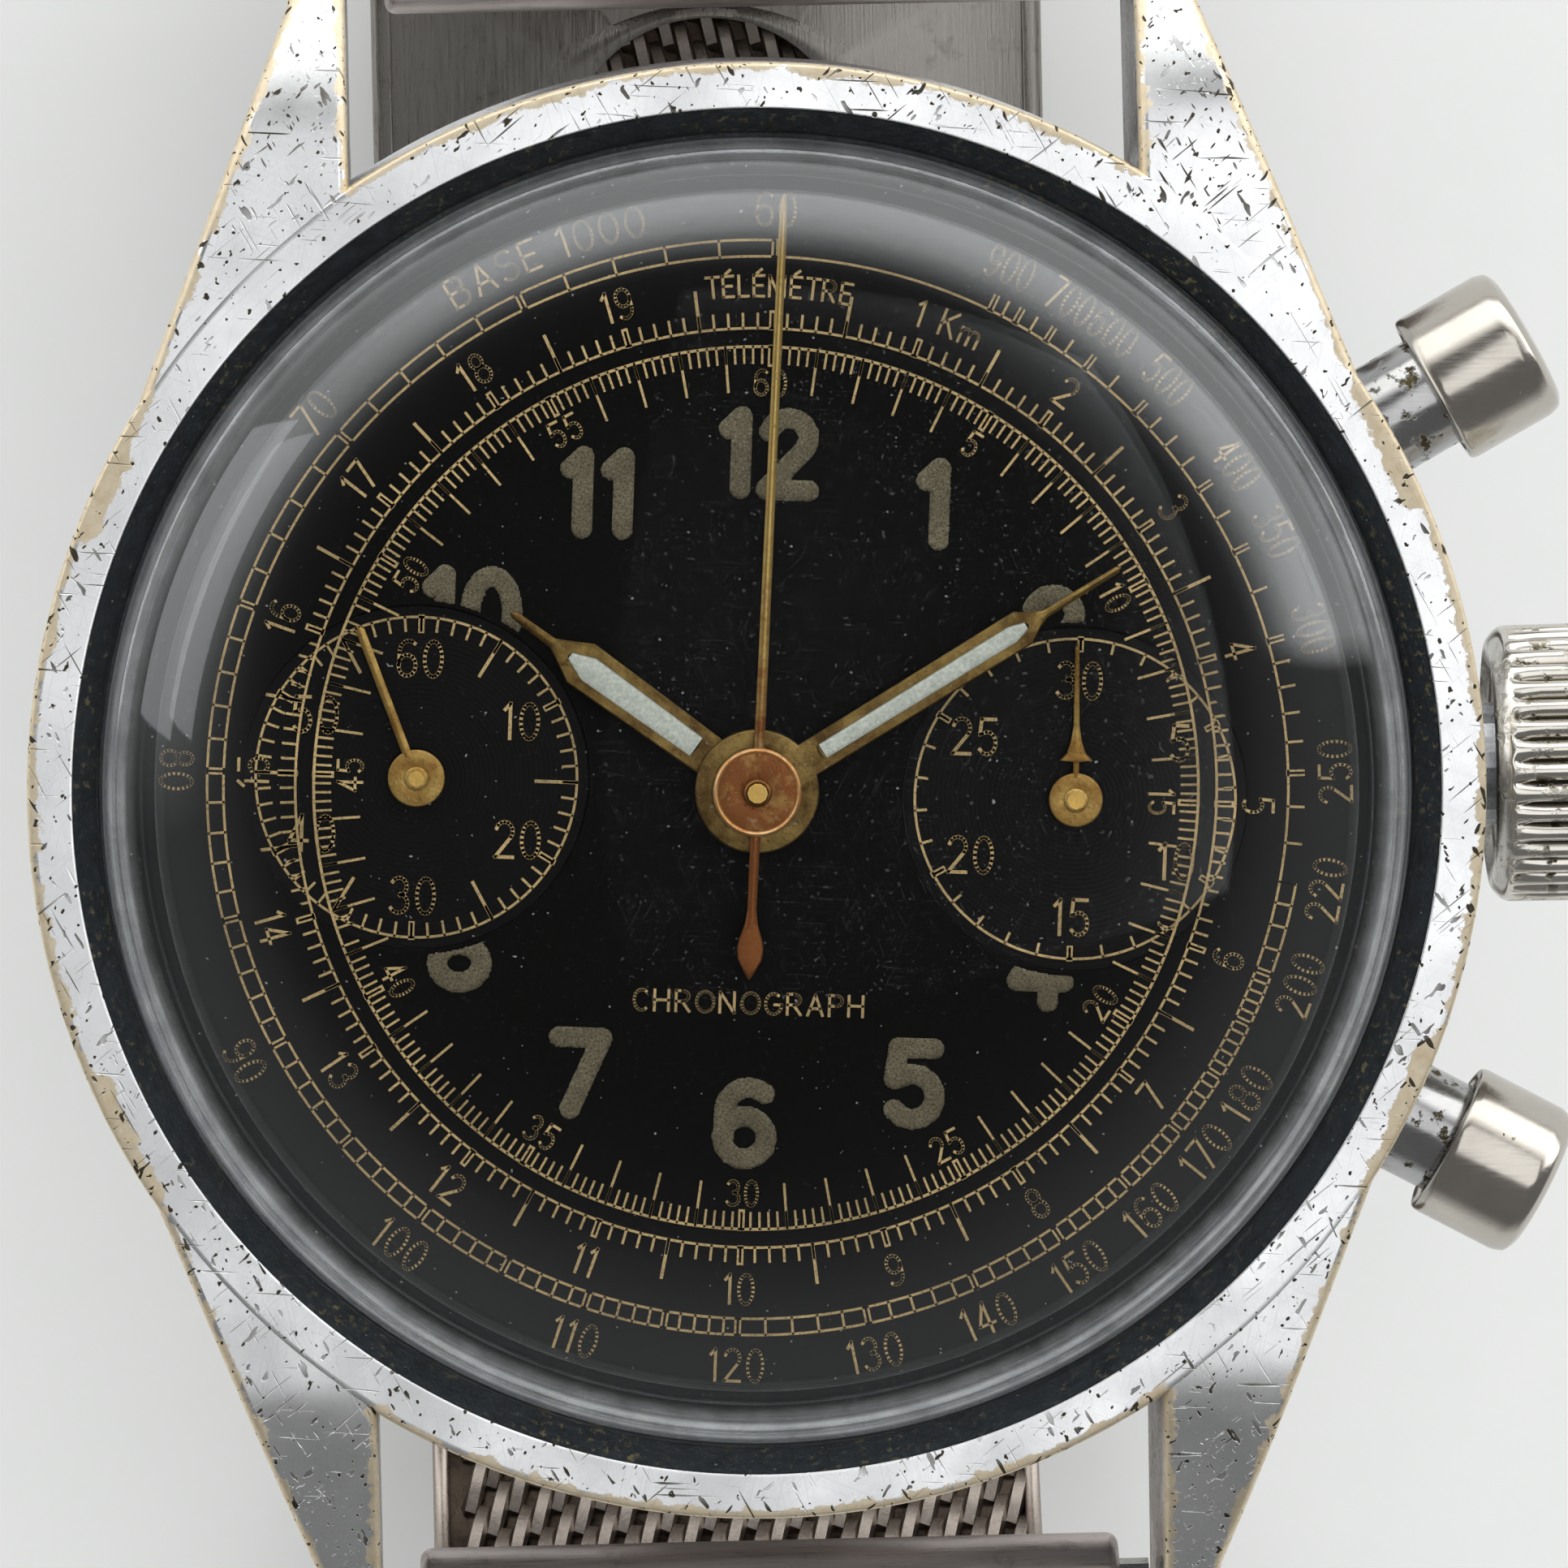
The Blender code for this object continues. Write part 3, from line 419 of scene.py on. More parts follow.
def strokes_of_font():
    """Each character as (advance, strokes) in a box one unit high."""
    oval = arc(0.26, 0.5, 0.26, 0.5, 0, 360, 21)
    bowl = arc(0.26, 0.3, 0.26, 0.3, 0, 360, 15)
    stem = [(0.0, 0.0), (0.0, 1.0), (0.25, 1.0)]
    upper_bowl = arc(0.26, 0.74, 0.24, 0.26, 90, -90, 8) + [(0.0, 0.48)]
    three = arc(0.24, 0.75, 0.23, 0.25, 150, -80, 10) + arc(0.24, 0.27, 0.27, 0.27, 80, -150, 11)
    return {
        "0": (0.78, [oval]),
        "1": (0.5, [[(0.02, 0.82), (0.18, 1.0), (0.18, 0.0)]]),
        "2": (0.78, [arc(0.26, 0.73, 0.25, 0.27, 165, -35, 9) + [(0.0, 0.0), (0.53, 0.0)]]),
        "3": (0.78, [three]),
        "4": (0.8, [[(0.36, 0.0), (0.36, 1.0), (0.0, 0.28), (0.54, 0.28)]]),
        "5": (0.78, [[(0.48, 1.0), (0.07, 1.0), (0.03, 0.56)] + arc(0.25, 0.32, 0.26, 0.32, 125, -145, 11)]),
        "6": (0.78, [arc(0.3, 0.66, 0.28, 0.34, 50, 180, 8) + [(0.02, 0.3)], bowl]),
        "7": (0.74, [[(0.0, 1.0), (0.5, 1.0), (0.15, 0.0)]]),
        "8": (0.78, [arc(0.26, 0.76, 0.21, 0.24, 0, 360, 15), arc(0.26, 0.27, 0.26, 0.27, 0, 360, 15)]),
        "9": (0.78, [arc(0.22, 0.34, 0.28, 0.34, -130, 0, 8) + [(0.5, 0.7)],
                     arc(0.26, 0.7, 0.25, 0.3, 0, 360, 15)]),
        "A": (0.84, [[(0.0, 0.0), (0.29, 1.0), (0.58, 0.0)], [(0.1, 0.33), (0.48, 0.33)]]),
        "B": (0.8, [stem + arc(0.28, 0.76, 0.2, 0.24, 90, -90, 7) + [(0.0, 0.52)],
                    [(0.28, 0.52)] + arc(0.28, 0.26, 0.25, 0.26, 90, -90, 8) + [(0.0, 0.0)]]),
        "C": (0.8, [arc(0.3, 0.5, 0.3, 0.5, 55, 305, 14)]),
        "E": (0.7, [[(0.45, 1.0), (0.0, 1.0), (0.0, 0.0), (0.45, 0.0)], [(0.0, 0.52), (0.38, 0.52)]]),
        "G": (0.86, [arc(0.32, 0.5, 0.32, 0.5, 55, 345, 15) + [(0.63, 0.46), (0.36, 0.46)]]),
        "H": (0.84, [[(0.0, 0.0), (0.0, 1.0)], [(0.55, 0.0), (0.55, 1.0)], [(0.0, 0.52), (0.55, 0.52)]]),
        "K": (0.78, [[(0.0, 0.0), (0.0, 1.0)], [(0.5, 1.0), (0.0, 0.42)], [(0.16, 0.6), (0.52, 0.0)]]),
        "L": (0.66, [[(0.0, 1.0), (0.0, 0.0), (0.42, 0.0)]]),
        "M": (0.95, [[(0.0, 0.0), (0.0, 1.0), (0.33, 0.25), (0.66, 1.0), (0.66, 0.0)]]),
        "N": (0.86, [[(0.0, 0.0), (0.0, 1.0), (0.56, 0.0), (0.56, 1.0)]]),
        "O": (0.92, [arc(0.34, 0.5, 0.34, 0.5, 0, 360, 21)]),
        "P": (0.76, [stem + upper_bowl]),
        "R": (0.8, [stem + upper_bowl, [(0.24, 0.48), (0.52, 0.0)]]),
        "S": (0.76, [arc(0.26, 0.75, 0.24, 0.25, 40, 250, 10) + arc(0.26, 0.26, 0.26, 0.26, 80, -145, 11)]),
        "T": (0.74, [[(0.0, 1.0), (0.56, 1.0)], [(0.28, 1.0), (0.28, 0.0)]]),
        "m": (0.95, [[(0.0, 0.0), (0.0, 0.62)], arc(0.16, 0.42, 0.16, 0.2, 180, 0, 6) + [(0.32, 0.0)],
                     arc(0.49, 0.42, 0.17, 0.2, 180, 0, 6) + [(0.66, 0.0)]]),
        "e": (0.7, [[(0.45, 1.0), (0.0, 1.0), (0.0, 0.0), (0.45, 0.0)], [(0.0, 0.52), (0.38, 0.52)],
                    [(0.14, 1.12), (0.34, 1.3)]]),
        " ": (0.45, []),
    }


FONT = strokes_of_font()


def word_segments(word, height, width=1.0):
    """The strokes of a word as (count, 2, 2) segments, centred on the origin."""
    segments, place = [], 0.0
    for letter in word:
        advance, strokes = FONT[letter]
        for stroke in strokes:
            points = np.array(stroke, float) * (width, 1) + (place, 0)
            segments.append(np.stack([points[:-1], points[1:]], 1))
        place += advance * width
    place -= 0.26 * width
    return (np.concatenate(segments) - (place / 2, 0.5)) * height


def on_circle(segments, radius, angle, upright=True):
    """Segments set at a clock angle (degrees from 12) on a circle; upright ones have their tops outwards."""
    if not upright:
        segments = -segments
    a = radians(-angle)
    shifted = segments + (0, radius)
    spin = np.array([[cos(a), sin(a)], [-sin(a), cos(a)]])
    return shifted @ spin


def bent_on_circle(word, height, radius, angle, width=1.0):
    """A word whose letters follow a circle: x becomes angle, y becomes radius."""
    flat = word_segments(word, height, width)
    turn = radians(angle) + flat[..., 0] / radius
    reach = radius + flat[..., 1]
    return np.stack([reach * np.sin(turn), reach * np.cos(turn)], -1)


def ticks(angles, near, far):
    """Radial segments at clock angles, between two radii."""
    a = np.radians(np.asarray(angles, float))
    away = np.stack([np.sin(a), np.cos(a)], -1)
    return np.stack([away * near, away * far], 1)


def stroke_boxes(segments, width, low, high):
    """Each segment as a closed bar: corners lie half a width to each side and half a width past each end."""
    segments = np.asarray(segments, float)
    width = np.broadcast_to(width, len(segments))[:, None]
    along = segments[:, 1] - segments[:, 0]
    along /= np.maximum(np.linalg.norm(along, axis=1, keepdims=True), 1e-9)
    side = np.stack([-along[:, 1], along[:, 0]], -1) * width / 2
    near, far = segments[:, 0] - along * width * 0.42, segments[:, 1] + along * width * 0.42
    flat = np.stack([near - side, near + side, far + side, far - side], 1)
    levels = [np.concatenate([flat, np.full((*flat.shape[:2], 1), z)], -1) for z in (low, high)]
    points = np.stack([levels[0], levels[1]], 1)
    verts, walls = grids(points, round_columns=True)
    base = np.arange(len(segments))[:, None] * 8
    caps = np.concatenate([base + [3, 2, 1, 0], base + [4, 5, 6, 7]])
    return verts, np.concatenate([walls[:, ::-1], caps])


def ring_line(radius, width, low, high, start=0.0, end=360.0):
    """A printed circle or arc as a closed strip: a small rectangle carried round at that radius."""
    whole = end - start >= 360
    count = max(8, int((end - start) * 0.8))
    a = np.radians(np.linspace(start, end, count, endpoint=not whole))
    inner, outer = radius - width / 2, radius + width / 2
    corners = [(inner, low), (inner, high), (outer, high), (outer, low)]
    rows = [np.stack([r * np.sin(a), r * np.cos(a), np.full(count, z)], -1) for r, z in corners]
    points = np.stack(rows, 1)[None]
    return grids(points if whole else capped(points), round_rows=whole, round_columns=True)


# ---------------------------------------------------------------- materials


def add(tree, kind, links=None, **settings):
    """Adds a node. A setting named like one of the node's properties is set on it, any other on the input of
    that name; links maps inputs to the outputs that feed them."""
    made = tree.nodes.new(kind)
    for key, value in settings.items():
        if hasattr(made, key):
            setattr(made, key, value)
        else:
            made.inputs[key.replace("_", " ")].default_value = value
    for key, source in (links or {}).items():
        tree.links.new(source, made.inputs[key])
    return made


def new_material(name, **shader_values):
    """An empty node material with one Principled shader and an Object-coordinate node."""
    material = bpy.data.materials.new(name)
    material.use_nodes = True
    tree = material.node_tree
    shader = tree.nodes["Principled BSDF"]
    for key, value in shader_values.items():
        shader.inputs[key.replace("_", " ")].default_value = value
    coords = tree.nodes.new("ShaderNodeTexCoord").outputs["Object"]
    return material, tree, shader, coords


def noise_at(tree, coords, size_mm, detail=3.0, rough=0.55, stretch=(1, 1, 1), turn=0.0):
    """Noise whose blobs are about size_mm wide, stretched along axes turned about Z; gives its factor."""
    scale = [size_mm * MM * s for s in stretch]
    settings = dict(vector_type="TEXTURE", Scale=scale, Rotation=(0, 0, turn))
    placed_at = add(tree, "ShaderNodeMapping", {"Vector": coords}, **settings)
    vector = {"Vector": placed_at.outputs[0]}
    return add(tree, "ShaderNodeTexNoise", vector, Scale=1.0, Detail=detail, Roughness=rough).outputs[0]


def between(tree, value, low, high, to_low=0.0, to_high=1.0):
    """Maps a value from low..high to to_low..to_high, clamped."""
    spans = dict(From_Min=low, From_Max=high, To_Min=to_low, To_Max=to_high)
    return add(tree, "ShaderNodeMapRange", {"Value": value}, **spans).outputs[0]


def sum_of(tree, operation, first, second):
    """One Math node; either side may be a number."""
    made = add(tree, "ShaderNodeMath", operation=operation)
    for number, value in enumerate((first, second)):
        if isinstance(value, (int, float)):
            made.inputs[number].default_value = value
        else:
            tree.links.new(value, made.inputs[number])
    return made.outputs[0]


def mixed(tree, factor, first, second):
    """Mixes two colours; each is a hex code, a setting's colour or an output."""
    made = add(tree, "ShaderNodeMix", data_type="RGBA")
    for number, value in ((0, factor), (6, first), (7, second)):
        if isinstance(value, str):
            made.inputs[number].default_value = linear(value)
        elif isinstance(value, (int, float)):
            made.inputs[number].default_value = value
        elif isinstance(value, bpy.types.NodeSocket):
            tree.links.new(value, made.inputs[number])
        else:
            made.inputs[number].default_value = (*value, 1.0)
    return made.outputs[2]


def read_value(tree, label):
    """The factor of a float attribute."""
    return add(tree, "ShaderNodeAttribute", attribute_name=label).outputs["Fac"]


def bumped(tree, shader, height, depth_mm):
    """Links a height, 0 to 1 for depth_mm, to the shader's normal."""
    made = add(tree, "ShaderNodeBump", {"Height": height}, Strength=1.0, Distance=depth_mm * MM)
    tree.links.new(made.outputs[0], shader.inputs["Normal"])


def scratch_lines(tree, coords, width_mm, length_mm, turns, share):
    """Thin streaks: noise stretched length to width in a few directions, cut off high; gives 0 to 1."""
    total = None
    for turn in turns:
        streak = noise_at(tree, coords, width_mm, 1.0, 0.4, (1, length_mm / width_mm, 1), turn)
        line = between(tree, streak, share, share + 0.05)
        total = line if total is None else sum_of(tree, "MAXIMUM", total, line)
    return total


def worn_chrome(sizes):
    """Chrome plating over brass, polished and then worn: white metal with fine scratches, dark pits, and bare
    brass in an irregular band along each outer edge."""
    material, tree, shader, coords = new_material("chrome_plate_on_brass", Metallic=1.0)
    edge = read_value(tree, "edge_mm")
    ragged = noise_at(tree, coords, 0.7, 5.0, 0.7)
    band = sum_of(tree, "SUBTRACT", edge, between(tree, ragged, 0.3, 0.75, 0.0, 2.2 * sizes.brass_wear))
    brass = between(tree, band, 0.0, 0.05, 1.0, 0.0)
    cloud = noise_at(tree, coords, 6.0, 4.0, 0.6)
    plating = mixed(tree, between(tree, cloud, 0.35, 0.7), Vector(sizes.plating) * 0.78, sizes.plating)
    tint = mixed(tree, noise_at(tree, coords, 0.35, 3.0, 0.6), "#cbb893", "#f3e9d6")
    colour = mixed(tree, brass, plating, tint)
    pits = between(tree, noise_at(tree, coords, 0.3, 1.5, 0.5, (0.7, 2.4, 1), 0.5), 0.68, 0.7)
    more = between(tree, noise_at(tree, coords, 0.26, 1.5, 0.5, (0.7, 2.2, 1), -0.75), 0.69, 0.71)
    pits = sum_of(tree, "MAXIMUM", pits, more)
    spots = between(tree, noise_at(tree, coords, 0.16, 1.0, 0.5, (1, 1.3, 1), -0.6), 0.705, 0.725)
    gate = between(tree, noise_at(tree, coords, 3.2, 2.0, 0.6), 0.42, 0.6)
    near_edge = between(tree, edge, 0.25, 0.9, 1.0, 0.0)
    marks = sum_of(tree, "MULTIPLY", pits, sum_of(tree, "MAXIMUM", gate, near_edge))
    marks = sum_of(tree, "MAXIMUM", marks, spots)
    long_ones = scratch_lines(tree, coords, 0.085, 2.4, (0.5, -0.9, 1.5), 0.7)
    long_ones = sum_of(tree, "MULTIPLY", long_ones, gate)
    marks = sum_of(tree, "MULTIPLY", sum_of(tree, "MAXIMUM", marks, long_ones), 2 * sizes.pits)
    colour = mixed(tree, marks, colour, "#4a4438")
    fine = scratch_lines(tree, coords, 0.03, 3.0, (0.2, 1.2, 2.3, 2.9), 0.64)
    colour = mixed(tree, sum_of(tree, "MULTIPLY", fine, 0.1), colour, "#8d949e")
    tree.links.new(colour, shader.inputs["Base Color"])
    rough = between(tree, noise_at(tree, coords, 2.5, 5.0, 0.6), 0.3, 0.75, 0.2, 0.34)
    rough = sum_of(tree, "ADD", rough, sum_of(tree, "MULTIPLY", sum_of(tree, "MAXIMUM", marks, brass), 0.3))
    tree.links.new(rough, shader.inputs["Roughness"])
    bumped(tree, shader, sum_of(tree, "SUBTRACT", 1.0, marks), 0.03)
    return material


def dark_rehaut():
    """The groove round the crystal, chromed brass gone dark: blue-black, partly tarnish and partly painted shade
    and dark reflection of the groove's walls, with olive specks of verdigris and painted glints.
    """
    material, tree, shader, coords = new_material("tarnished_and_shaded_groove", Metallic=0.45)
    speck = between(tree, noise_at(tree, coords, 0.22, 3.0, 0.65), 0.56, 0.68)
    patch = between(tree, noise_at(tree, coords, 2.4, 3.0, 0.6), 0.42, 0.62)
    # painted shade: the blue-black stands partly for tarnish and partly for the shade and dark reflection in the
    # groove
    base = mixed(tree, noise_at(tree, coords, 0.5, 4.0, 0.7), "#1d2023", "#474d53")
    colour = mixed(tree, sum_of(tree, "MULTIPLY", speck, patch), base, "#7d7554")
    # painted glints: pale specks that stand for light caught in the groove
    glint = between(tree, noise_at(tree, coords, 0.12, 2.0, 0.5), 0.72, 0.78)
    colour = mixed(tree, glint, colour, "#8d959b")
    tree.links.new(colour, shader.inputs["Base Color"])
    tree.links.new(between(tree, speck, 0, 1, 0.28, 0.7), shader.inputs["Roughness"])
    bumped(tree, shader, noise_at(tree, coords, 0.3, 4.0, 0.7), 0.03)
    return material


def turned_nickel(name, bright, dark, dirt_amount, groove=False):
    """Nickel-plated brass turned and polished: warm white metal, hairlines round the axis and brown blotches of
    dirt; with a groove attribute the deep part of the flutes turns darker brown."""
    material, tree, shader, coords = new_material(name, Metallic=1.0)
    colour = mixed(tree, noise_at(tree, coords, 1.6, 4.0, 0.6), bright, dark)
    blotch = between(tree, noise_at(tree, coords, 0.55, 5.0, 0.65), 0.66 - dirt_amount, 0.72 - dirt_amount)
    if groove:
        depth = read_value(tree, "groove")
        blotch = sum_of(tree, "MULTIPLY", blotch, between(tree, depth, 0.0, 0.5, 0.35, 1.0))
        blotch = sum_of(tree, "MAXIMUM", blotch, between(tree, depth, 0.6, 0.95, 0.0, 0.85))
    dirt = mixed(tree, noise_at(tree, coords, 0.25, 3.0, 0.6), "#3a3526", "#6e6442")
    colour = mixed(tree, blotch, colour, dirt)
    tree.links.new(colour, shader.inputs["Base Color"])
    rough = between(tree, noise_at(tree, coords, 0.06, 2.0, 0.5, (30, 1, 1)), 0.3, 0.7, 0.12, 0.24)
    rough = sum_of(tree, "ADD", rough, sum_of(tree, "MULTIPLY", blotch, 0.45))
    tree.links.new(rough, shader.inputs["Roughness"])
    bumped(tree, shader, sum_of(tree, "SUBTRACT", 1.0, blotch), 0.02)
    return material


def aged_steel(name, bright, dark, streak=(1, 20, 1), rough=(0.22, 0.4)):
    """Stainless steel brushed in one direction: fine lines along it and a warm, handled tone."""
    material, tree, shader, coords = new_material(name, Metallic=1.0)
    lines = noise_at(tree, coords, 0.06, 3.0, 0.6, streak)
    colour = mixed(tree, lines, dark, bright)
    grime = between(tree, noise_at(tree, coords, 0.9, 5.0, 0.7), 0.58, 0.75, 0.0, 0.55)
    colour = mixed(tree, grime, colour, "#5b534b")
    tree.links.new(colour, shader.inputs["Base Color"])
    tree.links.new(between(tree, lines, 0.3, 0.7, *rough), shader.inputs["Roughness"])
    bumped(tree, shader, lines, 0.006)
    return material


# Alpha of the crystal against the Layer Weight node's Facing: 0 seen straight on, 1 seen edge on.
SHEEN = (
    (0.018, 0.0015), (0.035, 0.012), (0.055, 0.045), (0.1, 0.08),
    (0.2, 0.09), (0.3, 0.11), (0.5, 0.2), (0.75, 0.5),
)
LEAST_SHEEN = 0.001


def acrylic():
    """Polished acrylic (PMMA): clear from above and mirror-like towards its rim, with hairline scratches and
    pale lines painted in as highlights where the wall gathers light. Its gloss is carried by alpha, so that light
    reaches the dial."""
    material, tree, shader, coords = new_material("acrylic_crystal", Roughness=0.035)
    shader.inputs["Base Color"].default_value = linear("#e4e7ea")
    facing = add(tree, "ShaderNodeLayerWeight", Blend=0.5).outputs["Facing"]
    sheen = add(tree, "ShaderNodeFloatCurve", {"Value": facing})
    curve = sheen.mapping.curves[0]
    for at, value in SHEEN:
        curve.points.new(at, value)
    curve.points[0].location = (0.0, LEAST_SHEEN)
    curve.points[-1].location = (1.0, 1.0)
    sheen.mapping.update()
    rim = read_value(tree, "rim")
    streaks = noise_at(tree, coords, 1.1, 3.0, 0.6, (1, 1, 8))
    # painted highlight: streaked pale lines along the crystal's rim
    painted_rim_highlight = sum_of(tree, "MULTIPLY", rim, between(tree, streaks, 0.3, 0.7, 0.2, 0.85))
    hair = scratch_lines(tree, coords, 0.03, 2.5, (0.4, 1.5, 2.6), 0.71)
    dust = between(tree, noise_at(tree, coords, 0.11, 0.0, 0.5), 0.79, 0.81)
    hair, dust = sum_of(tree, "MULTIPLY", hair, 0.015), sum_of(tree, "MULTIPLY", dust, 0.04)
    marks = sum_of(tree, "MAXIMUM", hair, dust)
    # painted highlight: at the pale lines the crystal turns matt, so its pale base colour shows lit by the lamps
    tree.links.new(between(tree, rim, 0.0, 1.0, 1.0, 0.1), shader.inputs["Metallic"])
    alpha = sum_of(tree, "ADD", sum_of(tree, "ADD", sheen.outputs[0], painted_rim_highlight), marks)
    tree.links.new(sum_of(tree, "MINIMUM", alpha, 1.0), shader.inputs["Alpha"])
    return material


def dial_lacquer(colour):
    """Black lacquer over brass, aged: a deep black in faint clouds, with a few dust specks and pale nicks."""
    material, tree, shader, coords = new_material("black_dial_lacquer")
    speck = between(tree, noise_at(tree, coords, 0.13, 1.0, 0.5), 0.775, 0.79)
    cloud = noise_at(tree, coords, 4.0, 4.0, 0.6)
    base = mixed(tree, cloud, Vector(colour) * 0.4, colour)
    tree.links.new(mixed(tree, speck, base, "#8c8f8e"), shader.inputs["Base Color"])
    tree.links.new(between(tree, cloud, 0.3, 0.7, 0.44, 0.54), shader.inputs["Roughness"])
    shader.inputs["Specular IOR Level"].default_value = 0.07
    bumped(tree, shader, noise_at(tree, coords, 0.2, 3.0, 0.6), 0.0008)
    return material


RING_PITCH = 0.12


def register_lacquer(colour):
    """The same lacquer in a register's floor, turned in fine circles one ring pitch apart, in mm."""
    material, tree, shader, coords = new_material("turned_register_lacquer")
    distance = read_value(tree, "from_centre")
    phase = sum_of(tree, "MULTIPLY", distance, 2 * pi / RING_PITCH)
    wave = add(tree, "ShaderNodeMath", {0: phase}, operation="SINE")
    speck = between(tree, noise_at(tree, coords, 0.13, 1.0, 0.5), 0.775, 0.79)
    base = mixed(tree, noise_at(tree, coords, 2.0), Vector(colour) * 0.45, colour)
    tree.links.new(mixed(tree, speck, base, "#8c8f8e"), shader.inputs["Base Color"])
    tree.links.new(between(tree, speck, 0, 1, 0.36, 0.7), shader.inputs["Roughness"])
    shader.inputs["Specular IOR Level"].default_value = 0.1
    bumped(tree, shader, wave.outputs[0], 0.0006)
    return material


def gilt_print(ink):
    """Gilt printing ink, oxidised: brown-gold that breaks up into fine grain."""
    material, tree, shader, coords = new_material("gilt_print", Metallic=0.25, Roughness=0.5)
    grain = noise_at(tree, coords, 0.07, 3.0, 0.7)
    patch = noise_at(tree, coords, 2.2, 3.0, 0.6)
    colour = mixed(tree, between(tree, patch, 0.35, 0.65), Vector(ink) * 0.6, ink)
    colour = mixed(tree, between(tree, grain, 0.5, 0.72), colour, "#4b3a20")
    tree.links.new(colour, shader.inputs["Base Color"])
    return material


def luminous_paint(name, dark, pale, grain_mm, contrast):
    """Luminous compound, matt and granular: a pale zinc-sulphide grain in an aged binder."""
    material, tree, shader, coords = new_material(name, Roughness=0.85)
    shader.inputs["Specular IOR Level"].default_value = 0.2
    grain = noise_at(tree, coords, grain_mm, 4.0, 0.75)
    cloud = noise_at(tree, coords, 0.8, 3.0, 0.6)
    pale_grains = between(tree, grain, 0.5 - contrast, 0.5 + contrast)
    factor = sum_of(tree, "MULTIPLY", pale_grains, between(tree, cloud, 0.3, 0.7, 0.55, 1.0))
    tree.links.new(mixed(tree, factor, dark, pale), shader.inputs["Base Color"])
    bumped(tree, shader, grain, 0.012)
    return material


def old_gilding(name, bright, dark, spot):
    """Gilt brass hands, tarnished: gold on the flats, brown where the gilding has gone, granular edges."""
    material, tree, shader, coords = new_material(name, Metallic=0.9)
    patch = noise_at(tree, coords, 0.9, 5.0, 0.7)
    grain = noise_at(tree, coords, 0.09, 3.0, 0.7)
    colour = mixed(tree, between(tree, patch, 0.38, 0.62), bright, dark)
    colour = mixed(tree, between(tree, grain, 0.58, 0.7, 0.0, 0.7), colour, spot)
    tree.links.new(colour, shader.inputs["Base Color"])
    tree.links.new(between(tree, patch, 0.3, 0.7, 0.3, 0.5), shader.inputs["Roughness"])
    bumped(tree, shader, grain, 0.01)
    return material


def copper_to_gold():
    """The sweep hand's gilding: gold along the blade, worn to copper on the hub and the tail. The worn share
    is carried by an attribute."""
    material, tree, shader, coords = new_material("worn_gilt_copper", Metallic=0.9)
    ragged = between(tree, noise_at(tree, coords, 0.7, 5.0, 0.7), 0.3, 0.7, -0.3, 0.3)
    worn = sum_of(tree, "ADD", read_value(tree, "worn"), ragged)
    colour = mixed(tree, between(tree, worn, 0.25, 0.75), "#b59a5c", "#80502c")
    grain = between(tree, noise_at(tree, coords, 0.08, 3.0, 0.7), 0.58, 0.72, 0.0, 0.55)
    tree.links.new(mixed(tree, grain, colour, "#4a2c14"), shader.inputs["Base Color"])
    tree.links.new(between(tree, worn, 0, 1, 0.3, 0.42), shader.inputs["Roughness"])
    bumped(tree, shader, grain, 0.01)
    return material


def movement_metal(name, bright, dark, size):
    """Plates and wheels inside: frosted gilding or polished steel with a fine satin grain."""
    material, tree, shader, coords = new_material(name, Metallic=1.0)
    grain = noise_at(tree, coords, size, 4.0, 0.6)
    tree.links.new(mixed(tree, grain, dark, bright), shader.inputs["Base Color"])
    tree.links.new(between(tree, grain, 0.3, 0.7, 0.2, 0.4), shader.inputs["Roughness"])
    bumped(tree, shader, grain, 0.006)
    return material


def backdrop_paper():
    """Matt seamless paper, very pale grey with a slight fibre."""
    material, tree, shader, coords = new_material("backdrop_paper", Roughness=0.9)
    fibre = noise_at(tree, coords, 4.0, 3.0, 0.6)
    tree.links.new(mixed(tree, fibre, "#f0f2f2", "#f5f6f6"), shader.inputs["Base Color"])
    return material


# ---------------------------------------------------------------- case


def lug_flank(y):
    """Half the width over a pair of lugs: it narrows straight to the knee, then less steeply to the tip."""
    return LUG_HALF + np.where(y < LUG_KNEE, FLANK_SLOPE, TIP_SLOPE) * (LUG_KNEE - y)


def lug_fall(y):
    """How far the top of a lug lies below the ring's top: a parabola that starts 14 mm from the middle."""
    return 3.6 * np.maximum(0, (y - 14) / 8.3) ** 2


def outline_distance(x, y):
    """How far a point of the case top lies from its outer edge, in mm: the least of the distances to the
    ring's circle, to the lug's straight flank and to its inner side."""
    x, y = np.abs(x), np.abs(y)
    radius, angle = np.hypot(x, y), np.arctan2(y, x)
    flank = (lug_flank(y) - x) / np.where(y < LUG_KNEE, np.hypot(1, FLANK_SLOPE), 1)
    outer = np.where(angle > radians(21.8), flank, CASE_R - radius)
    inner = np.where(y > WALL_Y, x - LUG_INNER, np.hypot(x - LUG_INNER, WALL_Y - y))
    beyond = np.where(x < LUG_INNER, CASE_R - radius, np.minimum(outer, inner))
    return np.maximum(np.minimum(beyond, LUG_TIP - y), 0)


def case_ring(edge_round):
    """The ring between crystal groove and flank: a closed outline with rounded outer corners, turned."""
    lower, high = CASE_LOW, CASE_TOP
    corners = [
        (15.0, lower), (17.0, lower), (17.55, lower + 0.6), (CASE_R, lower + 1.6), (CASE_R, high),
        (CASE_R - edge_round - 0.004, high), (17.2, high), (16.72, high), (GROOVE_R, high),
        (GROOVE_R, high - 0.12), (16.05, high - 0.8), (16.05, high - 1.4),
        (15.6, high - 1.42), (15.6, high - 2.05), (15.0, high - 2.05),
    ]
    radii = [0.1, 0.2, 0.3, 0.3, edge_round, 0.001, 0.15, 0.005, 0.04, 0.04, 0.1, 0.05, 0.05, 0.05, 0.05]
    return turned(fillet(corners, radii, 5), 288)


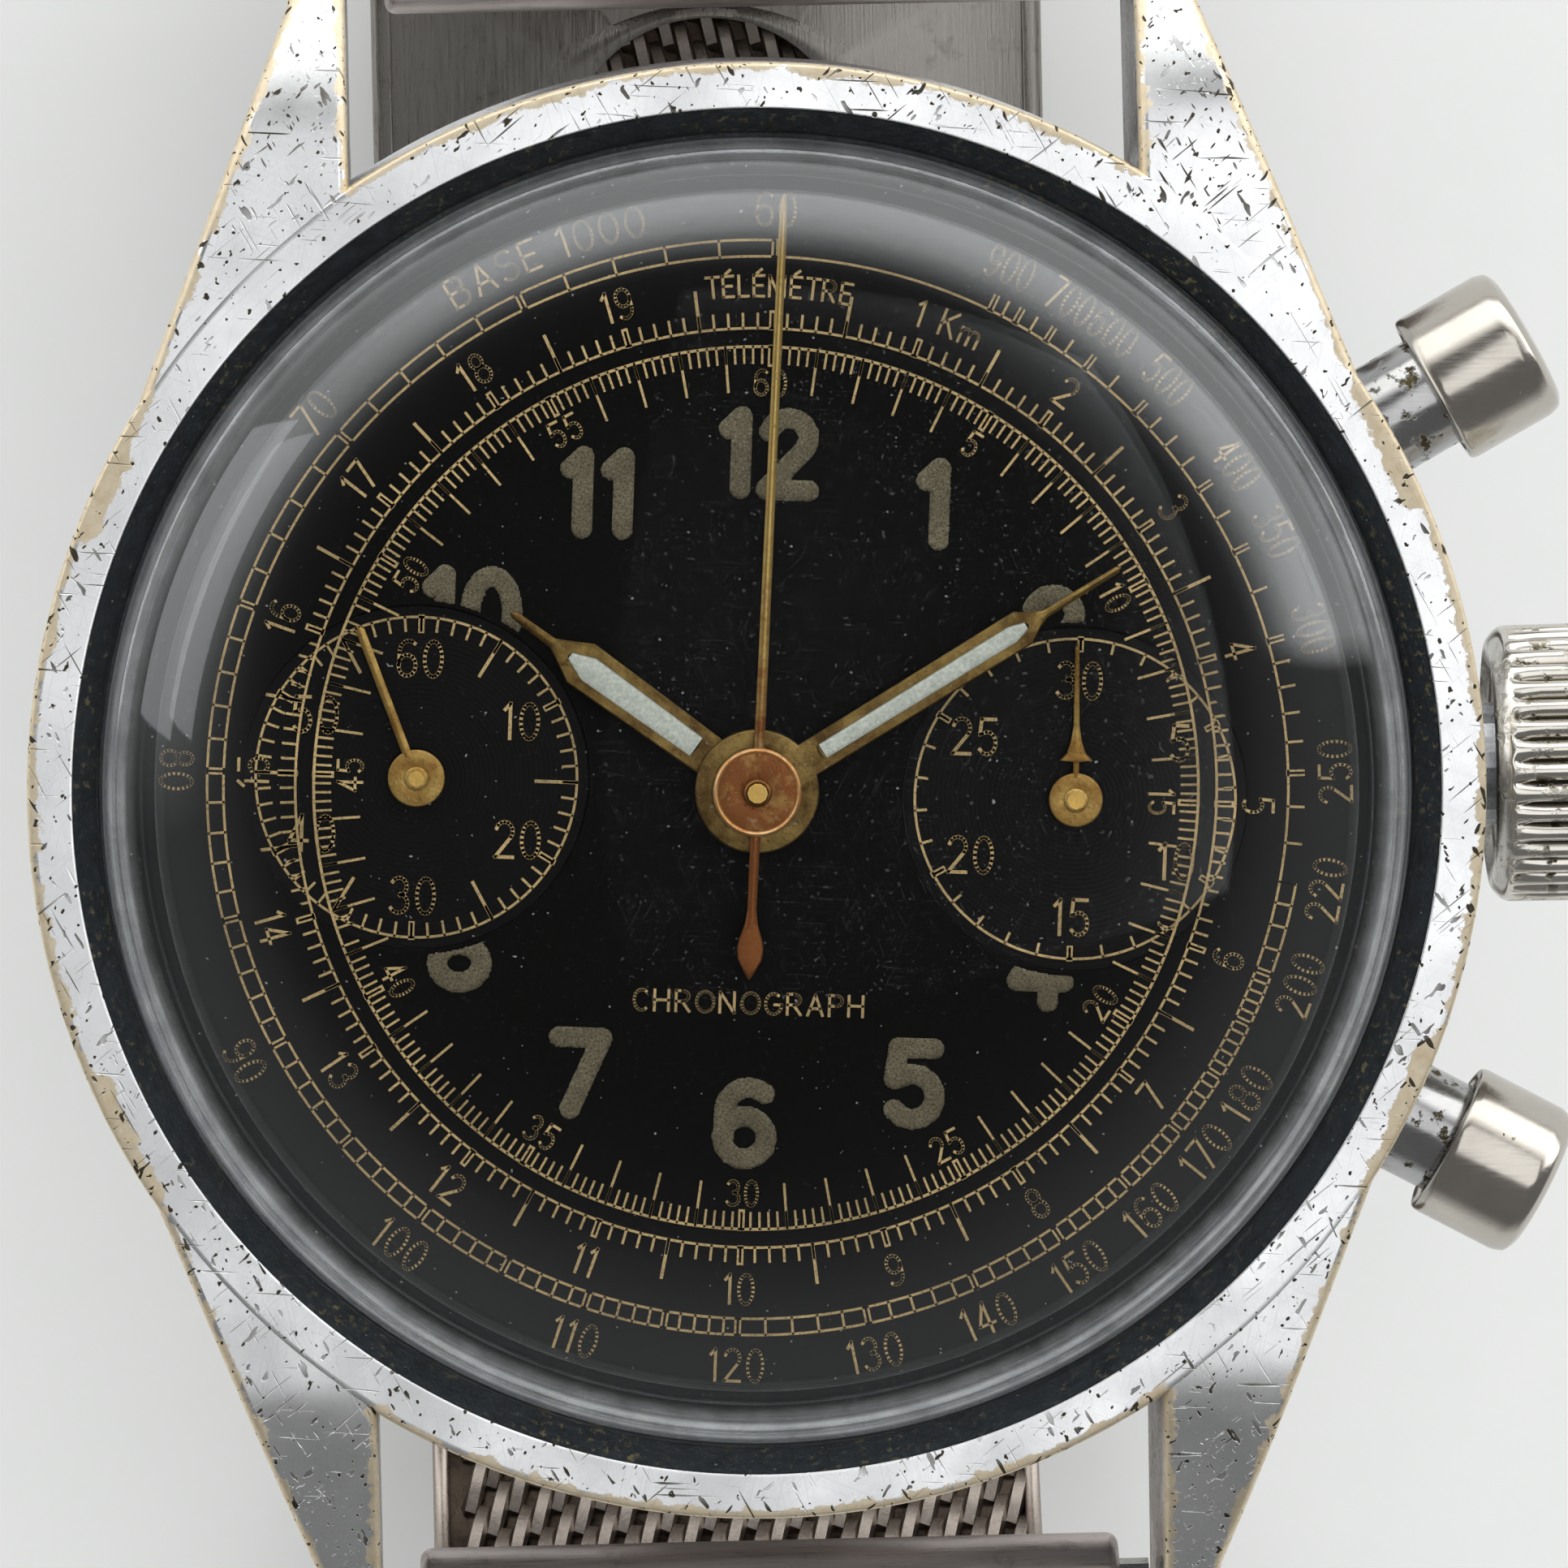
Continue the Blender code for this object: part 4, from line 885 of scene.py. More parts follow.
def lug(side, end, edge_round):
    """One lug: rows at fixed y from inside the ring to the tip. Across each row a closed section runs up the
    inner side, over the top with rounded edges, and down the flank; the top falls off as a parabola."""
    y = np.concatenate([np.linspace(7.6, LUG_KNEE, 46), np.linspace(LUG_KNEE, LUG_TIP, 16)[1:]])
    flank = lug_flank(y)
    inner = np.maximum(LUG_INNER, np.sqrt(np.maximum(16.9**2 - y**2, 0)))
    inner = np.minimum(inner, flank - 0.05)
    top = CASE_TOP - 0.0008 - lug_fall(y)
    low = CASE_LOW + 0.4 - 1.5 * np.maximum(0, (y - 10) / 12.3)
    tip = np.clip((LUG_TIP - y) / 0.5, 0, 1)
    close = 0.45 * (1 - np.sqrt(np.maximum(0, 1 - (1 - tip) ** 2)))
    top, low, flank, inner = top - close, low + close, flank - close * 0.5, inner + close * 0.3
    wide = flank - inner
    bevel = np.minimum(edge_round, wide * 0.3)
    arc_x = np.array([0, 0.08, 0.29, 0.62, 1.0])
    arc_z = np.array([1.0, 0.62, 0.29, 0.08, 0])
    columns_x = [inner, inner]
    columns_z = [low, (low + top) / 2]
    for ax, az in zip(arc_x, arc_z):
        columns_x.append(inner + bevel * ax)
        columns_z.append(top - bevel * az)
    for share in (0.01, 0.12, 0.25, 0.4, 0.6, 0.75, 0.88, 0.99):
        columns_x.append(inner + bevel + (wide - 2 * bevel) * share)
        columns_z.append(top)
    for ax, az in zip(arc_x[::-1], arc_z[::-1]):
        columns_x.append(flank - bevel * ax)
        columns_z.append(top - bevel * az)
    columns_x += [flank, flank, flank - wide * 0.2]
    columns_z += [(low + top) / 2, low + 0.5, low]
    x, z = np.stack(columns_x, 1), np.stack(columns_z, 1)
    points = np.stack([side * x, end * np.repeat(y[:, None], x.shape[1], 1), z], -1)
    return grids(capped(points[None]), round_columns=True)


class CHRONO_OT_case(bpy.types.Operator):
    """Builds the case middle with its lugs, and the case back"""

    bl_idname = "chronograph.build_case"
    bl_label = "Case"

    def execute(self, context):
        sizes = context.scene.chronograph_case
        plating, groove = worn_chrome(sizes), dark_rehaut()
        shells = [case_ring(sizes.edge_round)]
        shells += [lug(side, end, sizes.edge_round) for side in (-1, 1) for end in (-1, 1)]
        verts = np.concatenate([shell[0] for shell in shells])
        edge = outline_distance(verts[:, 0], verts[:, 1])
        depth = np.maximum(0, CASE_TOP - lug_fall(np.abs(verts[:, 1])) - verts[:, 2])
        edge = np.where(depth > 0.3, 0.2 + depth * 0.5, edge)
        case = mesh_piece("case_body", shells, "case", plating, "case_steel", edge_mm=edge)
        # the groove and the ring's inner walls take the dark groove finish: tarnish with painted shade
        case.data.materials.append(groove)
        middle = np.empty(len(case.data.polygons) * 3, np.float32)
        case.data.polygons.foreach_get("center", middle)
        middle = middle.reshape(-1, 3) / MM
        radius = np.hypot(middle[:, 0], middle[:, 1])
        inside = (radius < GROOVE_R + 0.02) & (middle[:, 2] < CASE_TOP - 0.03)
        case.data.polygons.foreach_set("material_index", inside.astype(np.int32))
        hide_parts("case_middle")
        back_steel = aged_steel("case_back_steel", "#d0d2d5", "#8f9296", (1, 1, 1), (0.25, 0.4))
        low = BACK_Z
        inside_top = low + 1.5
        corners = [(0.01, low), (13.2, low), (14.9, low + 0.45), (14.9, inside_top), (0.01, inside_top)]
        per_corner = 5
        edge_line = fillet(corners, [0.01, 0.12, 0.1, 0.05, 0.01], per_corner)[per_corner:-per_corner]
        face = [(0, low), (4, low), (8, low), (11.9, low)]
        face += [(12.0, low + 0.06), (12.2, low + 0.06), (12.3, low)]
        profile = np.concatenate([face, edge_line, [(0, inside_top)]])

        def notches(points, turn):
            """Opening notches all round: the rim is drawn in where cos(count * a) is near one."""
            count, depth = 6, 0.75
            share = np.clip((np.cos(count * turn) - 0.86) / 0.06, 0, 1)
            rim = np.clip((points[:, 0] - 14.0) / 0.5, 0, 1)
            return -depth * rim[:, None] * share[None]

        lid = turned(profile, 240, False, notches)
        back = mesh_piece("case_back_lid", [lid], "case", back_steel, "case_back_steel")
        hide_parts("case_back")
        return {"FINISHED"}


# ---------------------------------------------------------------- crystal


def dome(radius, base, rise, count):
    """(radius, height) points of a superellipse, from the foot to the axis: (r/R)^k + (h/H)^k = 1."""
    k = 2.4
    part = np.cos(np.linspace(0, pi / 2, count))
    part[-1] = 0
    return np.column_stack([radius * part, base + rise * (1 - part**k) ** (1 / k)])


# Painted highlights, pale lines in the crystal's wall where it catches light: strength, radius and width in mm.
RIM_LINES = ((0.8, 15.42, 0.05), (1.0, 15.7, 0.09), (0.6, 15.9, 0.04))


class CHRONO_OT_crystal(bpy.types.Operator):
    """Builds the domed acrylic crystal"""

    bl_idname = "chronograph.build_crystal"
    bl_label = "Crystal"

    def execute(self, context):
        outer = dome(CRYSTAL_R, CRYSTAL_TOP - 3.9, 3.9, 72)
        inner = dome(WALL_R, CRYSTAL_TOP - 4.1, 3.15, 36)[::-1]
        foot = [(WALL_R, CRYSTAL_FOOT + 0.08), (15.12, CRYSTAL_FOOT),
                (15.88, CRYSTAL_FOOT), (CRYSTAL_R, CRYSTAL_FOOT + 0.08)]
        profile = np.concatenate([inner, foot, outer])
        verts, faces = turned(profile, 256, False)
        radius = np.hypot(verts[:, 0], verts[:, 1])
        rim = sum(share * np.exp(-(((radius - at) / wide) ** 2)) for share, at, wide in RIM_LINES)
        # painted highlight: strongest towards 6 o'clock and faint towards 12, as the light falls on the wall
        rim = np.clip(rim * (0.62 - 0.38 * verts[:, 1] / np.maximum(radius, 1)), 0, 1) * (radius > 15.2)
        piece = mesh_piece("crystal_dome", [(verts, faces)], "case", acrylic(), "acrylic_crystal", rim=rim)
        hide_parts("crystal")
        return {"FINISHED"}


# ---------------------------------------------------------------- dial


def in_dial(points):
    """Turns points of the dial's own frame to the case's: a small clockwise turn about the middle."""
    a = radians(-DIAL_TURN)
    spin = np.array([[cos(a), -sin(a)], [sin(a), cos(a)]])
    return points @ spin


def dial_shells(shells):
    """Dial-frame shells turned into the case frame."""
    return [placed(shell, turn=DIAL_TURN) for shell in shells]


def tachymeter(line, low, high):
    """A speed stands where the sweep hand has come in the time of one kilometre: one line with outward ticks
    down to 220, then a double line."""

    def angle(values):
        """Clock angle of a speed in km/h: 3600 / speed seconds at six degrees a second."""
        return 21600 / np.asarray(values, float) % 360

    inner, outer = 13.0, 13.4
    fast = [*range(900, 500, -50), *range(500, 300, -25), *range(300, 210, -10)]
    bold = [900, 800, 700, 600, 500, 400, 350, 300, 250]
    slow = [220, 215, 210, 205] + list(range(200, 120, -2)) + list(range(120, 60, -1)) + [60]
    thick = list(range(200, 120, -10)) + list(range(120, 55, -5))
    segments = [ticks(angle(fast), inner, outer - 0.02), ticks(angle(slow), inner, outer)]
    widths = [np.full(len(fast), line), np.full(len(slow), line)]
    segments.append(ticks(angle(bold), inner + 0.02, outer - 0.06))
    segments.append(ticks(angle(thick), inner + 0.04, outer - 0.04))
    widths += [np.full(len(bold), 0.16), np.full(len(thick), 0.17)]
    numbers_r = 14.15
    for value in (60, 900, 700, 600, 500, 400, 350, 300, 250, 220, 200, *range(180, 60, -10)):
        at = angle(value)
        inverted = 80 < at < 280
        word = word_segments(str(value), 0.78, 0.69 if value > 299 else 0.92)
        segments.append(on_circle(word, numbers_r, at, not inverted))
        widths.append(np.full(len(word), line * 1.15))
    base = bent_on_circle("BASE 1000", 0.72, numbers_r, 336.5, 1.15)
    segments.append(base)
    widths.append(np.full(len(base), line * 1.15))
    rings = [ring_line(inner, line, low, high), ring_line(outer, line, low, high, 98.2, 360)]
    return segments, widths, rings


def telemeter(line, low, high):
    """Sound travels a kilometre in three seconds: 18 degrees each, with tenths."""
    inner, numbers_r = 11.25, 12.28
    tenths = np.arange(200) * 1.8
    whole, half = tenths[::10], tenths[5::10]
    segments = [ticks(tenths, inner, inner + 0.35), ticks(half, inner, inner + 0.95)]
    segments.append(ticks(whole, inner + 0.02, inner + 0.37))
    widths = [np.full(200, line), np.full(20, line * 1.3), np.full(20, 0.16)]
    for number in range(2, 20):
        at = 18.0 * number
        word = word_segments(str(number), 0.72, 0.95)
        segments.append(on_circle(word, numbers_r, at, not 5 < number < 15))
        widths.append(np.full(len(word), line * 1.2))
    for word, at, height in (("1 Km", 20.5, 0.62), ("TeLeMeTRE", 0.6, 0.5)):
        word = bent_on_circle(word, height, numbers_r, at, 1.1)
        segments.append(word)
        widths.append(np.full(len(word), line * 1.1))
    return segments, widths, [ring_line(inner, line, low, high)]


def seconds_track(line, low, high):
    """Sixty seconds of six degrees, each in fifths; every fifth second is numbered inside the track."""
    outer = 10.8
    fifths = np.arange(300) * 1.2
    fives = fifths[::25]
    singles = np.setdiff1d(np.round(fifths[::5], 3), np.round(fives, 3))
    segments = [ticks(fifths, outer - 0.4, outer), ticks(singles, outer - 1.08, outer)]
    segments.append(ticks(fives, outer - 0.42, outer - 0.02))
    widths = [np.full(300, line * 0.9), np.full(len(singles), line), np.full(12, 0.16)]
    for number in range(5, 65, 5):
        word = word_segments(str(number), 0.6, 0.95)
        segments.append(on_circle(word, 9.92, 6.0 * number, not 15 < number < 45))
        widths.append(np.full(len(word), line * 1.1))
    return segments, widths, [ring_line(outer, line * 1.1, low, high)]


REGISTER_RING = 3.92


def register_print(words, minor, bold, long_ones, tick, line):
    """A register's own scale in its own frame: ticks inwards from a printed circle and upright numbers."""
    segments = [ticks(marks, REGISTER_RING - tick, REGISTER_RING) for marks in (minor, bold)]
    widths = [np.full(len(minor), line), np.full(len(bold), 0.15)]
    if len(long_ones):
        segments.append(ticks(long_ones, REGISTER_RING - 1, REGISTER_RING))
        widths.append(np.full(len(long_ones), line * 1.3))
    for word, at in words:
        word = word_segments(word, 0.86, 0.95)
        middle = 2.9 * np.array([sin(radians(at)), cos(radians(at))])
        segments.append(word + middle)
        widths.append(np.full(len(word), 0.085))
    return segments, widths


def clear_of(segments, widths, centres, radius, keep_inside):
    """Splits strokes by whether their middle lies over a register."""
    middle = segments.mean(1)
    inside = np.zeros(len(segments), bool)
    for centre in centres:
        inside |= np.hypot(*(middle - centre).T) < radius
    chosen = inside if keep_inside else ~inside
    return segments[chosen], widths[chosen]


def numeral_field(segments, half, grid_x, grid_y):
    """Distance inside the strokes of a numeral at each point of a grid: half the stroke less the distance to
    the nearest segment."""
    a, b = segments[:, 0], segments[:, 1]
    points = np.stack([grid_x, grid_y], -1)[..., None, :]
    along = b - a
    share = np.clip(((points - a) * along).sum(-1) / np.maximum((along**2).sum(-1), 1e-9), 0, 1)
    nearest = a + share[..., None] * along
    return half - np.sqrt(((points - nearest) ** 2).sum(-1)).min(-1)


def grain(x, y):
    """A fixed granular pattern between -1 and 1, from three crossed sine products."""
    crossed = np.sin(37.1 * x + 5 * np.sin(29 * y)) * np.sin(41.3 * y + 4 * np.sin(31 * x))
    return crossed * 0.6 + 0.4 * np.sin(83 * x + 61 * y)


def hour_numeral(word, at, height, stroke):
    """A raised numeral as a height field: full height inside its strokes, rounded off at their edge, and
    below the dial's face outside them and over the registers; closed underneath."""
    rounding, thick, numerals_r = 0.12, 0.055, 8.2
    segments = word_segments(word, height - stroke, 1.12 if len(word) > 1 else 1.2)
    centre = numerals_r * np.array([sin(radians(at)), cos(radians(at))])
    low, high = segments.min((0, 1)) - stroke, segments.max((0, 1)) + stroke
    step = 0.045
    x, y = np.meshgrid(np.arange(low[0], high[0], step), np.arange(low[1], high[1], step), indexing="ij")
    field = numeral_field(segments, stroke / 2, x, y)
    place = in_dial(np.stack([x, y], -1) + centre)
    for register in (SECONDS_AT, RECORDER_AT):
        field = np.minimum(field, np.hypot(*(place - register).transpose(2, 0, 1)) - SINK_R - rounding)
    field = field + 0.018 * grain(place[..., 0], place[..., 1])
    rough = 0.006 * grain(place[..., 1] * 1.3, place[..., 0] * 1.2)
    rise = thick * np.sqrt(np.clip(field / rounding, 0, 1)) + rough
    z = np.where(field > 0, DIAL_TOP + rise, np.maximum(DIAL_TOP + field * 4, DIAL_LOW + 0.15))
    top = np.concatenate([place, z[..., None]], -1)
    under = top.copy()
    under[..., 2] = DIAL_LOW + 0.1
    rows = np.concatenate([top, under[:, ::-1]], 1)
    first, last = (np.concatenate([under[k : k + 1], under[k : k + 1, ::-1]], 1) for k in (0, len(under) - 1))
    return grids(np.concatenate([first, rows, last], 0)[None], round_columns=True)


class CHRONO_OT_dial(bpy.types.Operator):
    """Builds the dial with its sunk registers, print and luminous numerals"""

    bl_idname = "chronograph.build_dial"
    bl_label = "Dial"

    def execute(self, context):
        sizes = context.scene.chronograph_dial
        lacquer, floor_lacquer = dial_lacquer(sizes.lacquer), register_lacquer(sizes.lacquer)
        ink = gilt_print(sizes.ink)
        registers = (SECONDS_AT, RECORDER_AT)
        turn = np.linspace(0, 2 * pi, 240, endpoint=False)
        unit = np.column_stack([np.cos(turn), np.sin(turn)])
        lip_r = SINK_R + 0.08
        outlines = [DIAL_R * unit, DIAL_HOLE * unit[::4]] + [lip_r * unit[::2] + at for at in registers]
        shells = [plate(outlines, SINK_FLOOR, DIAL_TOP)]
        base_top = SINK_FLOOR - 0.002
        base = [(DIAL_HOLE, DIAL_LOW), (DIAL_R, DIAL_LOW), (DIAL_R, base_top), (DIAL_HOLE, base_top)]
        shells.append(turned(base, 240))
        for at in registers:
            lip = [(SINK_R, SINK_FLOOR), (lip_r, SINK_FLOOR), (lip_r, DIAL_TOP), (SINK_R, DIAL_TOP)]
            shells.append(placed(turned(fillet(lip, [0.005, 0.005, 0.005, 0.07], 4), 128), (*at, 0)))
        plate_piece = mesh_piece("dial_plate", shells, "case", lacquer, "dial_black")
        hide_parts("dial")
        floors, distance = [], []
        under, face = SINK_FLOOR - 0.01, SINK_FLOOR + FLOOR_SKIN
        profile = [(0.45, under), (0.45, face), (1.6, face), (2.9, face), (SINK_R, face), (SINK_R, under)]
        for at in registers:
            shell = turned(profile, 128)
            distance.append(np.hypot(shell[0][:, 0], shell[0][:, 1]))
            floors.append(placed(shell, (*at, 0)))
        distance = np.concatenate(distance)
        mesh_piece("register_floors", floors, "case", floor_lacquer, "dial_black", from_centre=distance)
        self.build_print(sizes, ink)
        lume = luminous_paint("aged_dial_lume", "#3a3528", sizes.lume, 0.06, 0.16)
        numerals = []
        measures = (sizes.numeral_height, sizes.numeral_stroke)
        for number in (12, 1, 2, 4, 5, 6, 7, 8, 10, 11):
            numerals.append(hour_numeral(str(number), 30 * number, *measures))
        mesh_piece("hour_numerals", numerals, "case", lume, "dial_black")
        return {"FINISHED"}

    def build_print(self, sizes, ink):
        """Scale print on the dial's face, the same print carried down into the registers, and their own."""
        line = sizes.line_width
        centres = [in_dial_inverse(at) for at in (SECONDS_AT, RECORDER_AT)]
        up = (DIAL_TOP - 0.01, DIAL_TOP + sizes.print_height)
        down = (SINK_FLOOR, SINK_FLOOR + FLOOR_SKIN + sizes.print_height)
        scales = [scale(line, *up) for scale in (tachymeter, telemeter, seconds_track)]
        segments = np.concatenate([s for scale in scales for s in scale[0]])
        widths = np.concatenate([w for scale in scales for w in scale[1]])
        word = word_segments("CHRONOGRAPH", 0.5, 1.25) + (0, -5.25)
        segments = np.concatenate([segments, word])
        widths = np.concatenate([widths, np.full(len(word), line * 1.1)])
        face = [stroke_boxes(*clear_of(segments, widths, centres, SINK_R + 0.05, False), *up)]
        face += [ring for scale in scales for ring in scale[2]]
        mesh_piece("scale_print", dial_shells(face), "case", ink, "dial_black")
        inside = [stroke_boxes(*clear_of(segments, widths, centres, SINK_R - 0.02, True), *down)]
        seconds = [("60", 0), ("10", 60), ("20", 120), ("30", 180), ("40", 240), ("50", 300)]
        minutes = [("30", 0), ("5", 60), ("10", 120), ("15", 180), ("20", 240), ("25", 300)]
        for centre, words, step, bold, long_ones, tick in (
            (centres[0], seconds, 6, 60, np.arange(30, 360, 60), 0.33),
            (centres[1], minutes, 12, 60, [], 0.26),
        ):
            minor, fives = np.arange(0, 360, step), np.arange(0, 360, bold)
            marks, thickness = register_print(words, minor, fives, long_ones, tick, line)
            own = stroke_boxes(np.concatenate(marks) + centre, np.concatenate(thickness), *down)
            inside += [own, placed(ring_line(REGISTER_RING, line, *down), (*centre, 0))]
        mesh_piece("register_print", dial_shells(inside), "case", ink, "dial_black")


def in_dial_inverse(point):
    """A point of the case frame in the dial's own frame."""
    a = radians(DIAL_TURN)
    return np.array(point) @ np.array([[cos(a), -sin(a)], [sin(a), cos(a)]])


# ---------------------------------------------------------------- hands


def blade(reach, half, slot, low, high, crown, drop=0.07):
    """A hand's blade along +Y: at each distance a closed section of that half width, rounded at its top
    edges, crowned by crown, and with a slot of the given half width let into its top."""
    reach, half = np.asarray(reach, float)[:, None], np.maximum(np.asarray(half, float), 0.012)[:, None]
    slot = np.minimum(np.asarray(slot, float)[:, None], half * 0.92)
    depth = np.where(slot > 0.001, drop, 0.0)
    bevel = np.minimum(0.035, half * 0.4)
    middle = high + crown * np.where(slot > 0.001, 0, 1)
    x = np.concatenate(
        [-half, -half, -half + bevel, -slot, -slot, slot, slot, half - bevel, half, half], 1
    )
    z = np.concatenate(
        [low + 0 * half, high - bevel, high + 0 * half, middle, middle - depth, middle - depth, middle,
         high + 0 * half, high - bevel, low + 0 * half], 1
    )
    y = np.repeat(reach, 10, 1)
    return grids(capped(np.stack([x, y, z], -1)[None]), round_columns=True)


def lume_strip(reach, half, low, high):
    """The luminous filling of a slot: a closed strip whose top swells in the middle and is granular."""
    reach, half = np.asarray(reach, float), np.asarray(half, float)
    share = np.linspace(-1, 1, 13)
    x = half[:, None] * share
    y = np.repeat(reach[:, None], 13, 1)
    swell = (high - low) * (0.55 + 0.45 * (1 - share**4))
    z = low + swell + 0.008 * grain(x * 1.1, y * 1.1)
    top = np.stack([x, y, z], -1)
    under = np.stack([x[:, ::-1], y, np.full_like(x, low)], -1)
    return grids(capped(np.concatenate([top, under], 1)[None]), round_columns=True)


def spread(points, count):
    """Distances and half widths of a blade, resampled finely between its named points."""
    points = np.array(points, float)
    reach = np.unique(np.concatenate([points[:, 0], np.linspace(points[0, 0], points[-1, 0], count)]))
    return reach, np.interp(reach, points[:, 0], points[:, 1])


def hub(inner, outer, low, high, edge=0.05, steps=96):
    """A flat ring with rounded upper edges, turned."""
    corners = [(inner, low), (outer, low), (outer, high), (inner, high)]
    return turned(fillet(corners, [0.01, 0.02, edge, edge], 4), steps)


class CHRONO_OT_hands(bpy.types.Operator):
    """Builds the five hands with their luminous fillings"""

    bl_idname = "chronograph.build_hands"
    bl_label = "Hands"

    def execute(self, context):
        sizes = context.scene.chronograph_hands
        crown = sizes.crown_of_blade
        gilding = old_gilding("tarnished_gilt", sizes.gilding, "#5a4525", "#35260f")
        small_gilding = old_gilding("small_hand_gilt", "#b79a5a", "#8f6a35", "#523818")
        lume = luminous_paint("pale_hand_lume", "#9aa298", "#d6dbd2", 0.1, 0.22)
        heights = {name: node_box(name) for name in ("hour_hand", "minute_hand", "chronograph_hand")}
        hour_low, hour_high = heights["hour_hand"][0][2], heights["hour_hand"][1][2]
        minute_low, minute_high = heights["minute_hand"][0][2], heights["minute_hand"][1][2]
        cases = (
            ("hour", hour_low, hour_high, -56.0, "hour_train", (1.06, 1.5),
             [(1.2, 0.5), (1.5, 0.51), (5.3, 0.58), (5.9, 0.25), (6.15, 0.125), (7.3, 0.1), (7.4, 0.012)],
             [(1.2, 0), (1.79, 0), (1.8, 0.28), (5.05, 0.33), (5.62, 0.1), (5.63, 0), (7.4, 0)]),
            ("minute", minute_low, minute_high, 56.4, "centre_train", (0.76, 1.51),
             [(1.0, 0.42), (1.5, 0.43), (7.6, 0.45), (8.0, 0.2), (8.25, 0.1), (10.3, 0.08), (10.4, 0.012)],
             [(1.0, 0), (1.79, 0), (1.8, 0.2), (7.3, 0.22), (7.7, 0.1), (7.71, 0), (10.4, 0)]),
        )
        for name, low, high, angle, body, ring, widths, slots in cases:
            reach, half = spread(widths, 140)
            slot = np.interp(reach, *np.array(slots).T)
            turn = DIAL_TURN - angle
            shells = [blade(reach, half, slot, low, high, crown), hub(*ring, low, high, 0.05)]
            shells = [placed(shell, turn=turn) for shell in shells]
            piece = mesh_piece(f"{name}_hand_blade", shells, body, gilding, "hand_gilt")
            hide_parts(f"{name}_hand")
            inside = (reach > slots[2][0] + 0.02) & (slot > 0.03)
            strip = lume_strip(reach[inside], slot[inside] * 0.97, high - 0.08, high + 0.005)
            mesh_piece(f"{name}_hand_lume", [placed(strip, turn=turn)], body, lume, "hand_gilt")
        self.sweep_hand(crown)
        self.small_hands(small_gilding, crown)
        return {"FINISHED"}

    def sweep_hand(self, crown):
        """The central chronograph hand: needle, hub disc, leaf-shaped tail, ring and pipe; the ring's pale gilding
        is a painted highlight.
        """
        low, high = (corner[2] for corner in node_box("chronograph_hand"))
        copper = copper_to_gold()
        reach, half = spread([(0.9, 0.125), (14.0, 0.1), (14.45, 0.06), (14.58, 0.012)], 60)
        point = blade(reach, half, 0 * reach, low, high, crown)
        leaf = [(0.9, 0.12), (2.9, 0.11), (3.25, 0.16), (3.6, 0.28), (3.85, 0.32), (4.1, 0.29), (4.4, 0.13)]
        reach, half = spread(leaf + [(4.58, 0.012)], 60)
        tail = placed(blade(reach, half, 0 * reach, low, high, crown), turn=180)
        disc = hub(0.28, 1.08, low, high, 0.04, 128)
        along_point = np.clip(0.7 - point[0][:, 1] * 0.07, 0, 1)
        worn = np.concatenate([along_point, np.ones(len(tail[0])), np.full(len(disc[0]), 0.75)])
        shells = [placed(s, turn=DIAL_TURN - 0.6) for s in (point, tail, disc)]
        slot = "chronograph_hand_copper"
        piece = mesh_piece("sweep_hand_blade", shells, "chronograph", copper, slot, worn=worn)
        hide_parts("chronograph_hand")
        # painted highlight: the ring's gilding is made pale to stand for the bright arcs of light it catches
        ring_highlight_gilt = old_gilding("hub_ring_painted_highlight", "#f0c48e", "#d69a5c", "#9a6232")
        under = high - 0.02
        corners = [(0.94, under), (1.085, under), (1.085, high), (1.02, high + 0.07), (0.95, high + 0.02)]
        bright = turned(fillet(corners, 0.02, 3), 128)
        mesh_piece("sweep_hand_ring", [bright], "chronograph", ring_highlight_gilt, slot)
        corners = [(0.26, under), (0.36, under), (0.34, high + 0.3), (0.26, high + 0.33)]
        pipe = turned(fillet(corners, 0.04, 4), 48)
        pipe_metal = old_gilding("sweep_pipe_copper", "#9a6b40", "#6a4326", "#3a2412")
        mesh_piece("sweep_hand_pipe", [pipe], "chronograph", pipe_metal, slot)

    def small_hands(self, gilding, crown):
        """Running seconds baton and the recorder's arrow, each with its collet."""
        low, high = (corner[2] for corner in node_box("running_seconds_hand"))
        collet_metal = old_gilding("collet_gilt", "#dcbf7a", "#a3803f", "#5c4018")
        seconds = spread([(0.55, 0.11), (3.85, 0.11), (3.94, 0.05), (3.95, 0.012)], 30)
        head = [(0.55, 0.07), (0.93, 0.07), (0.97, 0.4), (1.02, 0.36), (1.15, 0.23), (1.4, 0.14)]
        arrow = spread(head + [(1.8, 0.075), (3.7, 0.05), (3.86, 0.012)], 50)
        for name, at, angle, (reach, half), body, ring in (
            ("running_seconds", SECONDS_AT, -22.6, seconds, "seconds_train", 0.7),
            ("recorder", RECORDER_AT, -1.5, arrow, "recorder", 0.66),
        ):
            shells = [blade(reach, half, 0 * reach, low, high, crown), hub(0.24, ring, low, high, 0.04, 72)]
            place = dict(at=(*at, 0), turn=DIAL_TURN - angle)
            shells = [placed(shell, **place) for shell in shells]
            piece = mesh_piece(f"{name}_hand_blade", shells, body, gilding, "hand_gilt")
            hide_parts(f"{name}_hand")
            steps = [(0.15, high), (0.3, high), (0.29, high + 0.09), (0.2, high + 0.11), (0.15, high + 0.1)]
            collet = placed(turned(fillet(steps, 0.03, 3), 40), (*at, 0))
            mesh_piece(f"{name}_hand_collet", [collet], body, collet_metal, "hand_gilt")


# ---------------------------------------------------------------- crown and pushers


